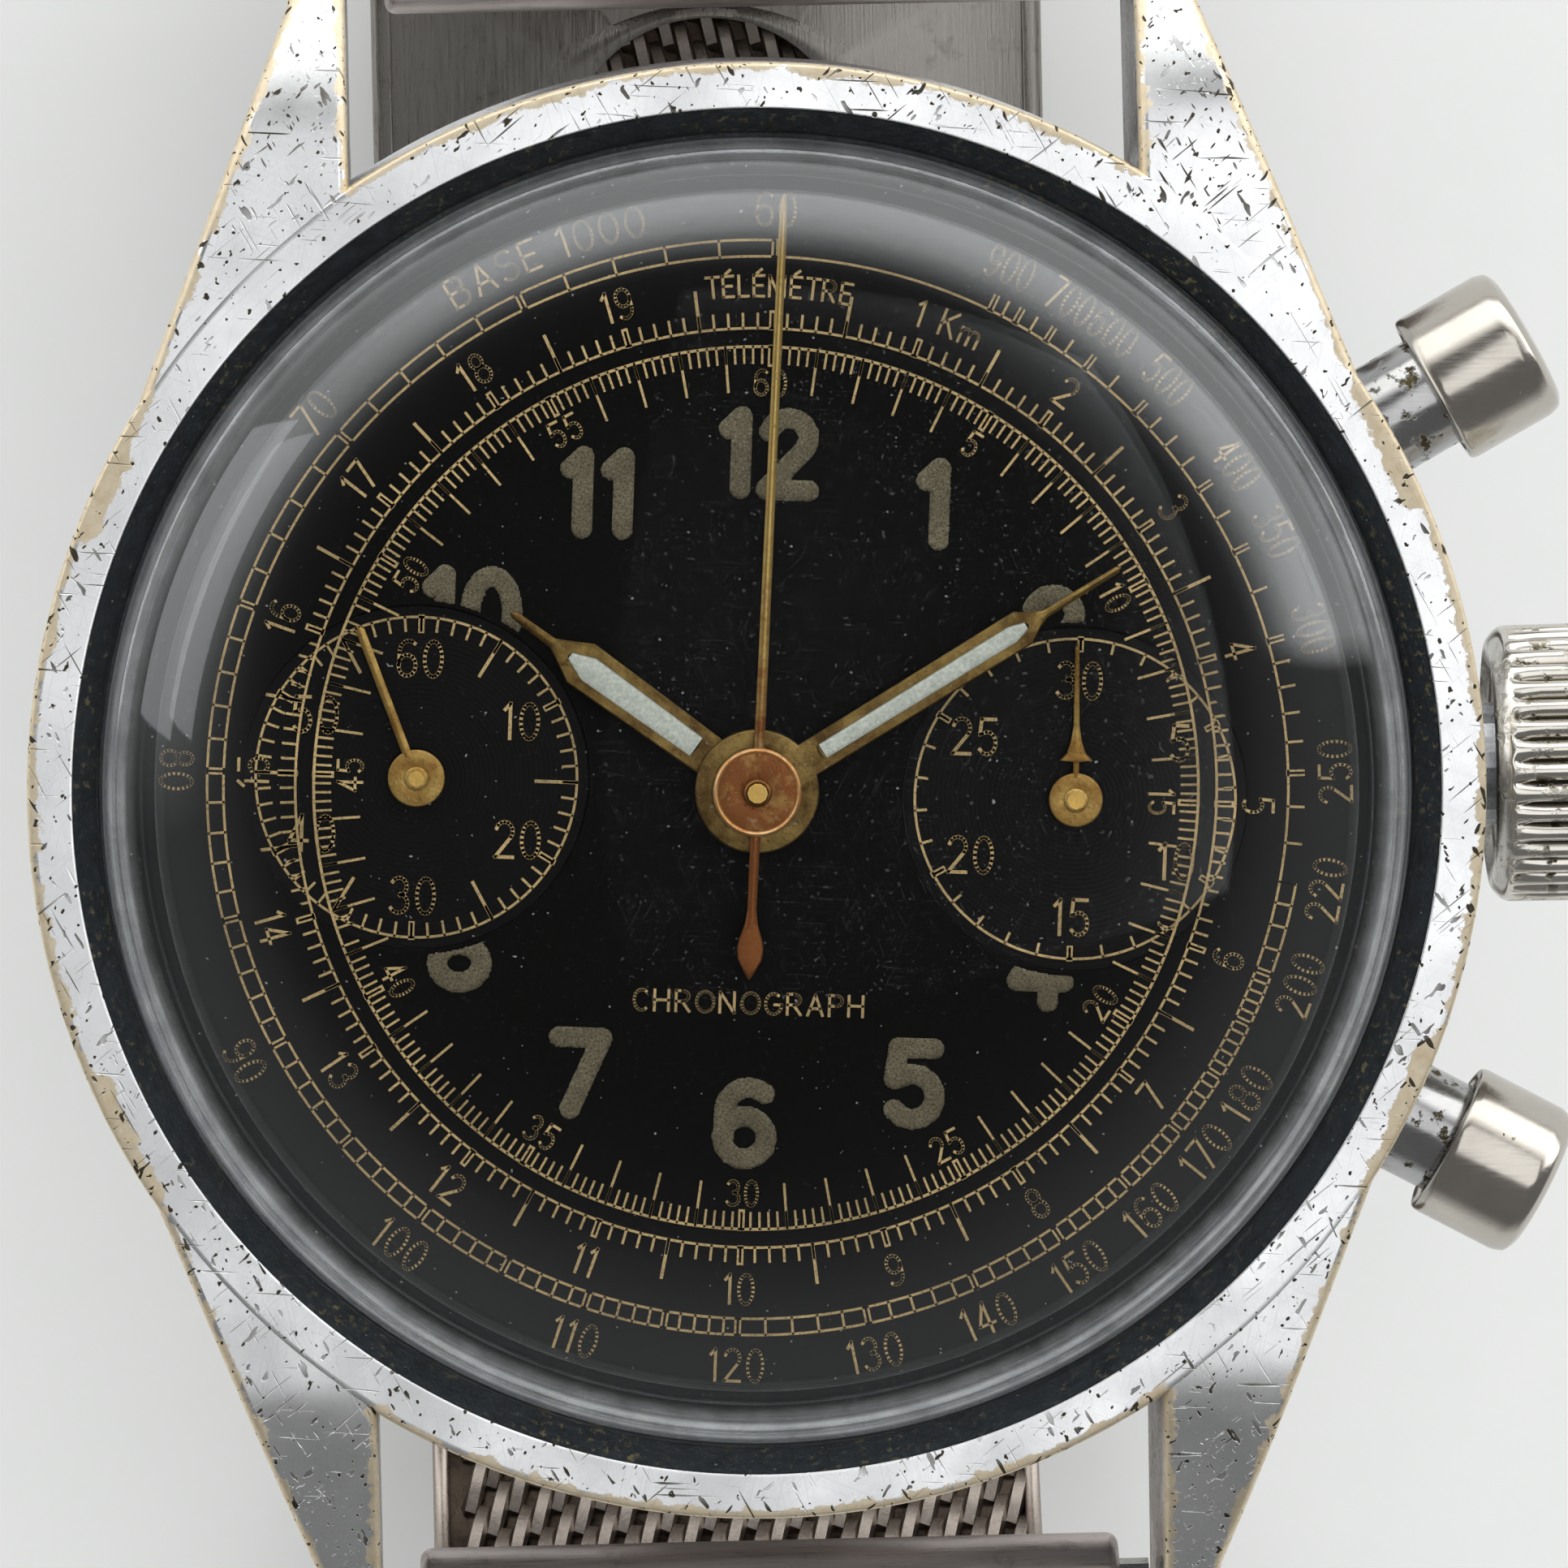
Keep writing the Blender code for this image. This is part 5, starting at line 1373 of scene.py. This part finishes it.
class CHRONO_OT_controls(bpy.types.Operator):
    """Builds the crown and the two pushers with their tubes"""

    bl_idname = "chronograph.build_controls"
    bl_label = "Crown and pushers"

    def execute(self, context):
        flutes, flute_depth, per_corner = 38, 0.26, 7
        near, far = node_box("crown")[0][0] - 0.4, CROWN_END
        corners = [(0.62, near + 0.25), (2.3, near + 0.25), (3.0, near), (3.4, near + 0.35),
                   (3.42, far - 0.95), (3.2, far - 0.25), (2.4, far - 0.02), (1.2, far),
                   (0.01, far), (0.01, near + 0.6), (0.62, near + 0.6)]
        rounding = [0.02, 0.1, 0.2, 0.2, 0.3, 0.4, 0.3, 0.3, 0.001, 0.001, 0.02]
        outline = fillet(corners, rounding, per_corner)[: -3 * per_corner]
        flank = np.linspace((3.4, near + 0.62), (3.42, far - 1.3), 8)[1:-1]
        inner, outer = outline[: 4 * per_corner], outline[4 * per_corner :]
        outline = np.vstack([(0, near + 0.25), inner, flank, outer, (0, far)])

        def fluting(points, turn):
            """Rounded flutes: depth times one minus the absolute cosine, fading at both ends of the rim."""
            rim = np.clip((points[:, 1] - near - 0.45) / 0.25, 0, 1)
            rim = rim * np.clip((far - 0.45 - points[:, 1]) / 0.5, 0, 1)
            rim = rim * np.clip((points[:, 0] - 2.8) / 0.3, 0, 1)
            return -flute_depth * rim[:, None] * (1 - np.abs(np.cos(flutes * turn / 2)) ** 0.7)[None]

        shell = turned(outline, flutes * 8, False, fluting)
        turn = np.linspace(0, 2 * pi, flutes * 8, endpoint=False)
        depth = (-fluting(outline, turn) / flute_depth).ravel()
        nickel = turned_nickel("fluted_nickel_crown", "#e6e2d9", "#a8a59f", 0.1, True)
        axis = (0, 0, STEM_Z)
        shell = placed(shell, axis, 0, True)
        piece = mesh_piece("fluted_crown", [shell], "crown", nickel, "crown_nickel", groove=depth)
        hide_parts("crown")
        # painted shade: the caps take a darker copy of the crown's nickel, so they read mid-grey under the
        # overhead box
        polished = turned_nickel("nickel_cap_painted_shade", "#c9c4bc", "#a8a39b", -0.04)
        tarnished = turned_nickel("verdigris_nickel_tube", "#bdbdbb", "#85858a", 0.08)
        for name, angle in (("upper", PUSHER_ANGLE), ("lower", -PUSHER_ANGLE)):
            cap = [(0.5, 13.1), (0.5, 20.95), (1.6, 20.95), (1.6, 19.35), (1.7, 19.25), (1.9, 19.25),
                   (1.95, 19.4), (1.95, 21.5), (1.86, 21.78), (1.6, 21.92), (0.9, 21.99)]
            shell = turned(np.vstack([(0, 13.1), fillet(cap, 0.09, 4), (0, 22.0)]), 128, False)
            shell = placed(shell, axis, angle, True)
            piece = mesh_piece(f"pusher_cap_{name}", [shell], f"pusher_{name}", polished, "pusher_nickel")
            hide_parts(f"pusher_{name}")
            wall = fillet([(1.1, 15.05), (1.42, 15.05), (1.42, 19.95), (1.1, 19.95)], 0.08, 4)
            sleeve = placed(turned(wall, 96), axis, angle, True)
            piece = mesh_piece(f"pusher_sleeve_{name}", [sleeve], "case", tarnished, "tube_nickel")
            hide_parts(f"pusher_tube_{name}")
        return {"FINISHED"}


# ---------------------------------------------------------------- bracelet


def band_line(end, count):
    """Middle line of one half of the band in the Y-Z plane and its unit normals: a cubic Bezier curve into a
    straight tongue, sampled at even steps of its length."""
    t = np.linspace(0, 1, 200)[:, None]
    start, first, second, finish = np.array([(24.85, 45.45), (30.4, 39.5), (31.5, 2.5), (20.5, 2.5)])
    curve = (1 - t) ** 3 * start + 3 * t * (1 - t) ** 2 * first + 3 * t * t * (1 - t) * second + t**3 * finish
    last = 3.6 if end > 0 else 0.3
    line = np.vstack([curve, np.column_stack([np.linspace(20.4, last, 60), np.full(60, 2.5)])])
    length = np.concatenate([[0], np.cumsum(np.linalg.norm(np.diff(line, axis=0), axis=1))])
    even = np.linspace(0, length[-1], count)
    line = np.column_stack([np.interp(even, length, line[:, k]) for k in (0, 1)])
    along = np.gradient(line, axis=0)
    along /= np.linalg.norm(along, axis=1, keepdims=True)
    out = np.column_stack([-along[:, 1], along[:, 0]])
    return line * (end, 1), out * (end, 1), length[-1]


def woven_band(end, sizes):
    """Interlinked flattened spirals: wire k runs across the band as x = pitch * turns, u = u_k + a cos and
    n = b sin, with neighbouring rows half a pitch apart, and (u, n) laid along the band's middle line."""
    line, out, length = band_line(end, 400)
    rows = int((length - 1.4) / sizes.row_pitch)
    wire, pitch = sizes.wire, sizes.link_pitch
    width = BAND_HALF - 0.35
    turns = int(2 * width / pitch)
    count = turns * 9 + 1
    phase = np.linspace(0, 2 * pi * turns, count)[None]
    row = np.arange(rows)[:, None]
    centre = 0.8 + sizes.row_pitch * row
    x = -width + 0.3 + (2 * width - 0.6) * phase / phase.max() + np.where(row % 2, 0.3, -0.3)
    reach, lift = 0.86, BAND_THICK / 2 - wire - 0.01
    u = centre + reach * np.cos(phase)
    n = lift * np.sin(phase)
    forward = np.full_like(u, 2 * width / phase.max())
    along = np.stack(np.broadcast_arrays(-reach * np.sin(phase), forward, lift * np.cos(phase)), -1)
    along /= np.linalg.norm(along, axis=-1, keepdims=True)
    side = np.cross(along, np.array([0.0, 1.0, 0.0]))
    side /= np.maximum(np.linalg.norm(side, axis=-1, keepdims=True), 1e-6)
    third = np.cross(along, side)
    ring = np.linspace(0, 2 * pi, 5, endpoint=False)
    local = np.stack([u, x, n + 0 * row], -1)[..., None, :]
    round_wire = np.cos(ring)[:, None] * side[..., None, :] + np.sin(ring)[:, None] * third[..., None, :]
    local = local + wire * round_wire
    return grids(capped(laid_on(local, line, out, length)), round_columns=True)


def laid_on(local, line, out, length):
    """Local (along, across, off) coordinates laid on a line in the Y-Z plane by its points and normals."""
    place = np.clip(local[..., 0], 0, length) / length * (len(line) - 1)
    step = np.arange(len(line))
    y = np.interp(place, step, line[:, 0]) + local[..., 2] * np.interp(place, step, out[:, 0])
    z = np.interp(place, step, line[:, 1]) + local[..., 2] * np.interp(place, step, out[:, 1])
    return np.stack([local[..., 1], y, z], -1)


def band_edges(end):
    """The closed selvedges: a rounded bar carried along each side of the band, and a bar across each end."""
    line, out, length = band_line(end, 400)
    section = fillet([(-0.24, -0.62), (0.2, -0.62), (0.2, 0.62), (-0.24, 0.62)], 0.2, 4)
    u = np.linspace(0.02, length - 0.02, 110)
    shells = []
    for side in (-1, 1):
        x = side * (BAND_HALF - 0.24) + section[None, :, 0]
        local = np.stack(np.broadcast_arrays(u[:, None], x, section[None, :, 1]), -1)
        shells.append(grids(capped(laid_on(local, line, out, length)[None]), round_columns=True))
    return shells


def band_core(end):
    """The dark middle of the weave, partly grime and partly painted shade between the wires: a thin closed
    strip along the band's middle line.
    """
    line, out, length = band_line(end, 400)
    u = np.linspace(0.5, length - 0.6, 110)
    section = np.array([(-8.1, -0.1), (8.1, -0.1), (8.1, 0.1), (-8.1, 0.1)])
    local = np.stack(np.broadcast_arrays(u[:, None], section[None, :, 0], section[None, :, 1]), -1)
    return grids(capped(laid_on(local, line, out, length)[None]), round_columns=True)


def end_piece(end):
    """The folded end: three quarters of a barrel about the spring bar and a flat tail over the band."""
    bar, tail = np.array([BAR_Y, BAR_Z]), np.array([24.95, 45.35])
    along = (tail - bar) / np.linalg.norm(tail - bar)
    out = np.array([-along[1], along[0]])
    start = atan2(out[1], out[0])
    a = start + np.linspace(0, pi, 40)
    barrel = bar + 1.4 * np.column_stack([np.cos(a), np.sin(a)])
    neck_low = [bar + along * 1.2 - out * 1.1, tail - 0.8 * out + along * -0.2]
    neck_high = [tail + 0.8 * out - along * 0.2, bar + along * 1.2 + out * 1.1]
    tip = [tail - 0.62 * out, tail + 0.62 * out]
    outline = np.vstack([barrel, neck_low, tip, neck_high])
    return across(outline * (end, 1), 8.65, 0.28, 5, 4)


class CHRONO_OT_bracelet(bpy.types.Operator):
    """Builds the end pieces, the woven band, the clasp plate and the clasp lever"""

    bl_idname = "chronograph.build_bracelet"
    bl_label = "Bracelet"

    def execute(self, context):
        sizes = context.scene.chronograph_bracelet
        brushed = aged_steel("brushed_end_steel", "#d9cfcb", "#a89e9a", (25, 1, 1), (0.25, 0.4))
        wire_steel = aged_steel("woven_wire_steel", "#b8aea6", "#7f766f", (1, 1, 1), (0.3, 0.45))
        # painted shade: a dark sheet inside the weave stands partly for grime and partly for the shade between the
        # wires
        grime = movement_metal("inner_weave_grime_and_shade", "#554b42", "#2c2620", 0.3)
        plate_steel = aged_steel("clasp_steel", "#a7a4a0", "#77736e", (1, 25, 1), (0.24, 0.38))
        for end, hour in ((1, "12"), (-1, "6")):
            strap = f"strap_{hour}"
            piece = mesh_piece(f"folded_end_{hour}", [end_piece(end)], strap, brushed, "bracelet_steel")
            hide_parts(f"end_piece_{hour}")
            band = mesh_piece(f"woven_band_{hour}", [woven_band(end, sizes)], strap, wire_steel, "mesh_steel")
            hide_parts(f"mesh_{hour}")
            mesh_piece(f"band_edges_{hour}", band_edges(end), strap, wire_steel, "mesh_steel")
            mesh_piece(f"band_core_{hour}", [band_core(end)], strap, grime, "mesh_steel")
        self.clasp(plate_steel)
        return {"FINISHED"}

    def clasp(self, steel):
        """A folded channel with side walls, a cover with an oval window in a raised rim, ears for the pin and
        a bar across its near end."""
        near = node_box("clasp_plate")[0][1]
        right, far, top = node_box("clasp_plate")[1]
        floor, inside = 1.3, right - 0.55
        section = [(-right, floor), (right, floor), (right, top), (inside, top), (inside, floor + 0.42),
                   (-inside, floor + 0.42), (-inside, top), (-right, top)]
        loop = fillet(section, [0.5, 0.5, 0.25, 0.1, 0.2, 0.2, 0.1, 0.25], 5)
        y = np.linspace(near + 0.02, far - 0.02, 30)
        points = np.stack(np.broadcast_arrays(loop[None, :, 0], y[:, None], loop[None, :, 1]), -1)
        channel = grids(points[None], round_columns=True)
        turn = np.linspace(0, 2 * pi, 160, endpoint=False)
        centre, half_y = 14.6, 3.4
        window = np.column_stack([3.75 * np.cos(turn), half_y * np.sin(turn)])
        y_low, y_high = 3.0 - centre, far - centre
        to_side = (inside + 0.2) / np.maximum(np.abs(np.cos(turn)), 1e-6)
        to_end = np.where(np.sin(turn) > 0, y_high, -y_low) / np.maximum(np.abs(np.sin(turn)), 1e-6)
        reach = np.minimum(to_side, to_end)
        rim = np.column_stack([reach * np.cos(turn), reach * np.sin(turn)])
        under = 3.3
        loops = [(0.0, under + 0.1), (0.0, top - 0.05), (0.03, top), (0.07, top), (0.14, top - 0.03),
                 (0.2, top - 0.18), (1.0, top - 0.18), (1.0, under), (0.1, under)]
        rows = [np.insert(window + (rim - window) * share, 2, z, axis=1) for share, z in loops]
        cover = np.stack(rows) + (0, centre, 0)
        shells = [channel, grids(cover[None], round_rows=True, round_columns=True)]
        for x in (-6.85, 6.85):
            shells.append(rounded_block((x - 0.55, PIN_Y - 0.7, 0.15), (x + 0.55, PIN_Y + 0.7, 1.6), 0.2))
        shells.append(rounded_block((-inside, near, floor), (inside, near + 0.5, floor + 0.42), 0.15))
        piece = mesh_piece("clasp_channel", shells, "strap_12", steel, "clasp_steel")
        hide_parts("clasp_plate")
        a = np.radians(np.linspace(140, -90, 16))
        nose = np.column_stack([PIN_Y + 0.6 * np.cos(a), PIN_Z + 0.6 * np.sin(a)])
        upper, lower = [(-7.6, 0.02), (-7.45, 0.35), (-7.0, 0.85), (12.2, 0.85)], [(12.0, 0.0), (-7.2, 0.0)]
        outline = np.vstack([upper, nose[1:], lower])
        lever = across(outline, 6.1, 0.12, 4, 4)
        piece = mesh_piece("fold_over_lever", [lever], "clasp_lever", steel, "clasp_steel")
        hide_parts("clasp_lever")


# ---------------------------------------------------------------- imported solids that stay


class CHRONO_OT_movement(bpy.types.Operator):
    """Gives the movement, the bars and the tube their finishes"""

    bl_idname = "chronograph.finish_movement"
    bl_label = "Movement finishes"

    def execute(self, context):
        brass = movement_metal("frosted_gilt_brass", "#d8b46a", "#a17f3d", 0.3)
        steel = movement_metal("polished_tool_steel", "#c8cbd0", "#84888e", 0.15)
        bar = aged_steel("spring_bar_steel", "#d2d2d0", "#8c8a86", (20, 1, 1), (0.2, 0.35))
        slots = {part["node"]: part["material_slot"] for part in frame["record"]["subparts"]}
        chosen = {"movement_brass": brass, "movement_steel": steel, "tube_nickel": steel}
        chosen.update(bar_steel=bar, clasp_steel=bar)
        for name, piece in frame["nodes"].items():
            if piece.hide_render:
                continue
            finish = chosen[slots[name]]
            for place in piece.material_slots:
                place.material = finish
            if not piece.material_slots:
                piece.data.materials.append(finish)
        return {"FINISHED"}


# ---------------------------------------------------------------- studio


def softbox(name, at, target, width, height, radiance):
    """An area light of a given radiance that faces a target; it is not seen by the camera itself."""
    data = bpy.data.lights.new(name, "AREA")
    data.shape = "RECTANGLE"
    data.size, data.size_y = width, height
    data.energy = radiance * pi * width * height
    lamp = bpy.data.objects.new(name, data)
    bpy.context.collection.objects.link(lamp)
    lamp.location = at
    lamp.rotation_euler = (Vector(at) - Vector(target)).to_track_quat("Z", "Y").to_euler()
    lamp.visible_camera = False
    return lamp


class CHRONO_OT_studio(bpy.types.Operator):
    """Builds the floor, the light and the camera"""

    bl_idname = "chronograph.build_studio"
    bl_label = "Studio"

    def execute(self, context):
        sizes = context.scene.chronograph_studio
        half, level = 3, -0.0001
        corners = [(-half, -half, level), (half, -half, level), (half, half, level), (-half, half, level)]
        mesh = bpy.data.meshes.new("floor")
        mesh.from_pydata(corners, [], [(0, 1, 2, 3)])
        floor = bpy.data.objects.new("floor", mesh)
        context.collection.objects.link(floor)
        mesh.materials.append(backdrop_paper())
        self.lights(sizes)
        self.world(sizes)
        self.camera(context, sizes)
        context.scene.view_settings.view_transform = "Standard"
        return {"FINISHED"}

    def camera(self, context, sizes):
        """A long lens nearly straight above the case top, leaning and rolled a little, and aimed a fraction
        of a millimetre to the right of the middle and above it."""
        tilt = sizes.camera_tilt
        away = Vector((-sin(sizes.camera_lean), sin(tilt), cos(tilt))).normalized()
        roll = radians(-1.3)
        right = Vector((cos(roll), sin(roll), 0))
        up = away.cross(right).normalized()
        right = up.cross(away).normalized()
        aim = Vector((0, 0, CASE_TOP * MM)) + right * 0.00064 + up * 0.00023
        data = bpy.data.cameras.new("camera")
        data.sensor_width = 36
        data.lens = 330.7
        data.clip_start, data.clip_end = 0.01, 50
        camera = bpy.data.objects.new("camera", data)
        context.collection.objects.link(camera)
        place = aim + away * sizes.camera_distance
        camera.matrix_world = matrix_of(np.column_stack([right, up, away]), place)
        context.scene.camera = camera

    def lights(self, sizes):
        """One overhead box for the flats, whose left and near edges stop short so that the metal greys there;
        a low box at 10 o'clock; and a broad fill that only matt surfaces see."""
        softbox("overhead", (0.155, 0.12, 0.7), (0.155, 0.12, 0), 0.39, 0.49, sizes.key)
        softbox("left_box", (-0.42, 0.153, 0.27), (0, 0, CASE_TOP * MM), 0.26, 0.2, sizes.side * 0.7)
        fill = softbox("fill", (0, 0, 1.0), (0, 0, 0), 1.2, 1.2, sizes.fill)
        fill.visible_glossy = False

    def world(self, sizes):
        """A light tent: radiance = room + side * rise(elevation) * span(bearing), bright from 9 o'clock round
        to just before 3, sharp at that end, and dark overhead so that the crystal stays clear."""
        world = bpy.data.worlds.new("light_tent")
        bpy.context.scene.world = world
        world.use_nodes = True
        tree = world.node_tree
        tree.nodes.clear()
        coords = add(tree, "ShaderNodeTexCoord").outputs["Generated"]
        x, y, z = add(tree, "ShaderNodeSeparateXYZ", {"Vector": coords}).outputs
        bearing = sum_of(tree, "ARCTAN2", x, y)
        glow = sum_of(tree, "MULTIPLY", between(tree, z, 0.02, 0.12), between(tree, z, 0.62, 0.82, 1.0, 0.0))
        glow = sum_of(tree, "MULTIPLY", glow, between(tree, bearing, 1.4, 1.46, 1.0, 0.0))
        glow = sum_of(tree, "MULTIPLY", glow, between(tree, bearing, -1.7, -0.3))
        room = between(tree, z, 0.0, 0.25, 0.6, 0.21)
        strength = sum_of(tree, "ADD", room, sum_of(tree, "MULTIPLY", glow, sizes.side))
        shade = add(tree, "ShaderNodeBackground", {"Strength": strength}, Color=linear("#fbfbf9"))
        out = add(tree, "ShaderNodeOutputWorld")
        tree.links.new(shade.outputs[0], out.inputs["Surface"])


def matrix_of(columns, location):
    """A 4 x 4 matrix from three column axes and a location."""
    rows = [[*map(float, row), place] for row, place in zip(columns, location)]
    return Matrix(rows + [[0, 0, 0, 1]])


# ---------------------------------------------------------------- panel and registration


class CHRONO_PT_panel(bpy.types.Panel):
    """Lists the builders of the chronograph"""

    bl_idname = "CHRONO_PT_panel"
    bl_label = "Wrist Chronograph"
    bl_space_type = "VIEW_3D"
    bl_region_type = "UI"
    bl_category = "Chronograph"

    def draw(self, context):
        for maker in BUILDERS:
            self.layout.operator(maker.bl_idname)
        for label in SETTINGS:
            group = getattr(context.scene, f"chronograph_{label}")
            for name in group.bl_rna.properties.keys():
                if name not in ("rna_type", "name"):
                    self.layout.prop(group, name)


SETTINGS = {
    "case": CaseSizes,
    "dial": DialSizes,
    "hands": HandSizes,
    "bracelet": BraceletSizes,
    "studio": StudioSizes,
}
BUILDERS = (
    CHRONO_OT_case,
    CHRONO_OT_crystal,
    CHRONO_OT_dial,
    CHRONO_OT_hands,
    CHRONO_OT_controls,
    CHRONO_OT_bracelet,
    CHRONO_OT_movement,
    CHRONO_OT_studio,
)


def register():
    for made in (*SETTINGS.values(), *BUILDERS, CHRONO_PT_panel):
        bpy.utils.register_class(made)
    for label, group in SETTINGS.items():
        setattr(bpy.types.Scene, f"chronograph_{label}", bpy.props.PointerProperty(type=group))


def unregister():
    for label in SETTINGS:
        delattr(bpy.types.Scene, f"chronograph_{label}")
    for made in reversed((*SETTINGS.values(), *BUILDERS, CHRONO_PT_panel)):
        bpy.utils.unregister_class(made)


def main():
    register()
    bpy.ops.chronograph.build_case()
    bpy.ops.chronograph.build_crystal()
    bpy.ops.chronograph.build_dial()
    bpy.ops.chronograph.build_hands()
    bpy.ops.chronograph.build_controls()
    bpy.ops.chronograph.build_bracelet()
    bpy.ops.chronograph.finish_movement()
    bpy.ops.chronograph.build_studio()


if __name__ == "__main__":
    main()
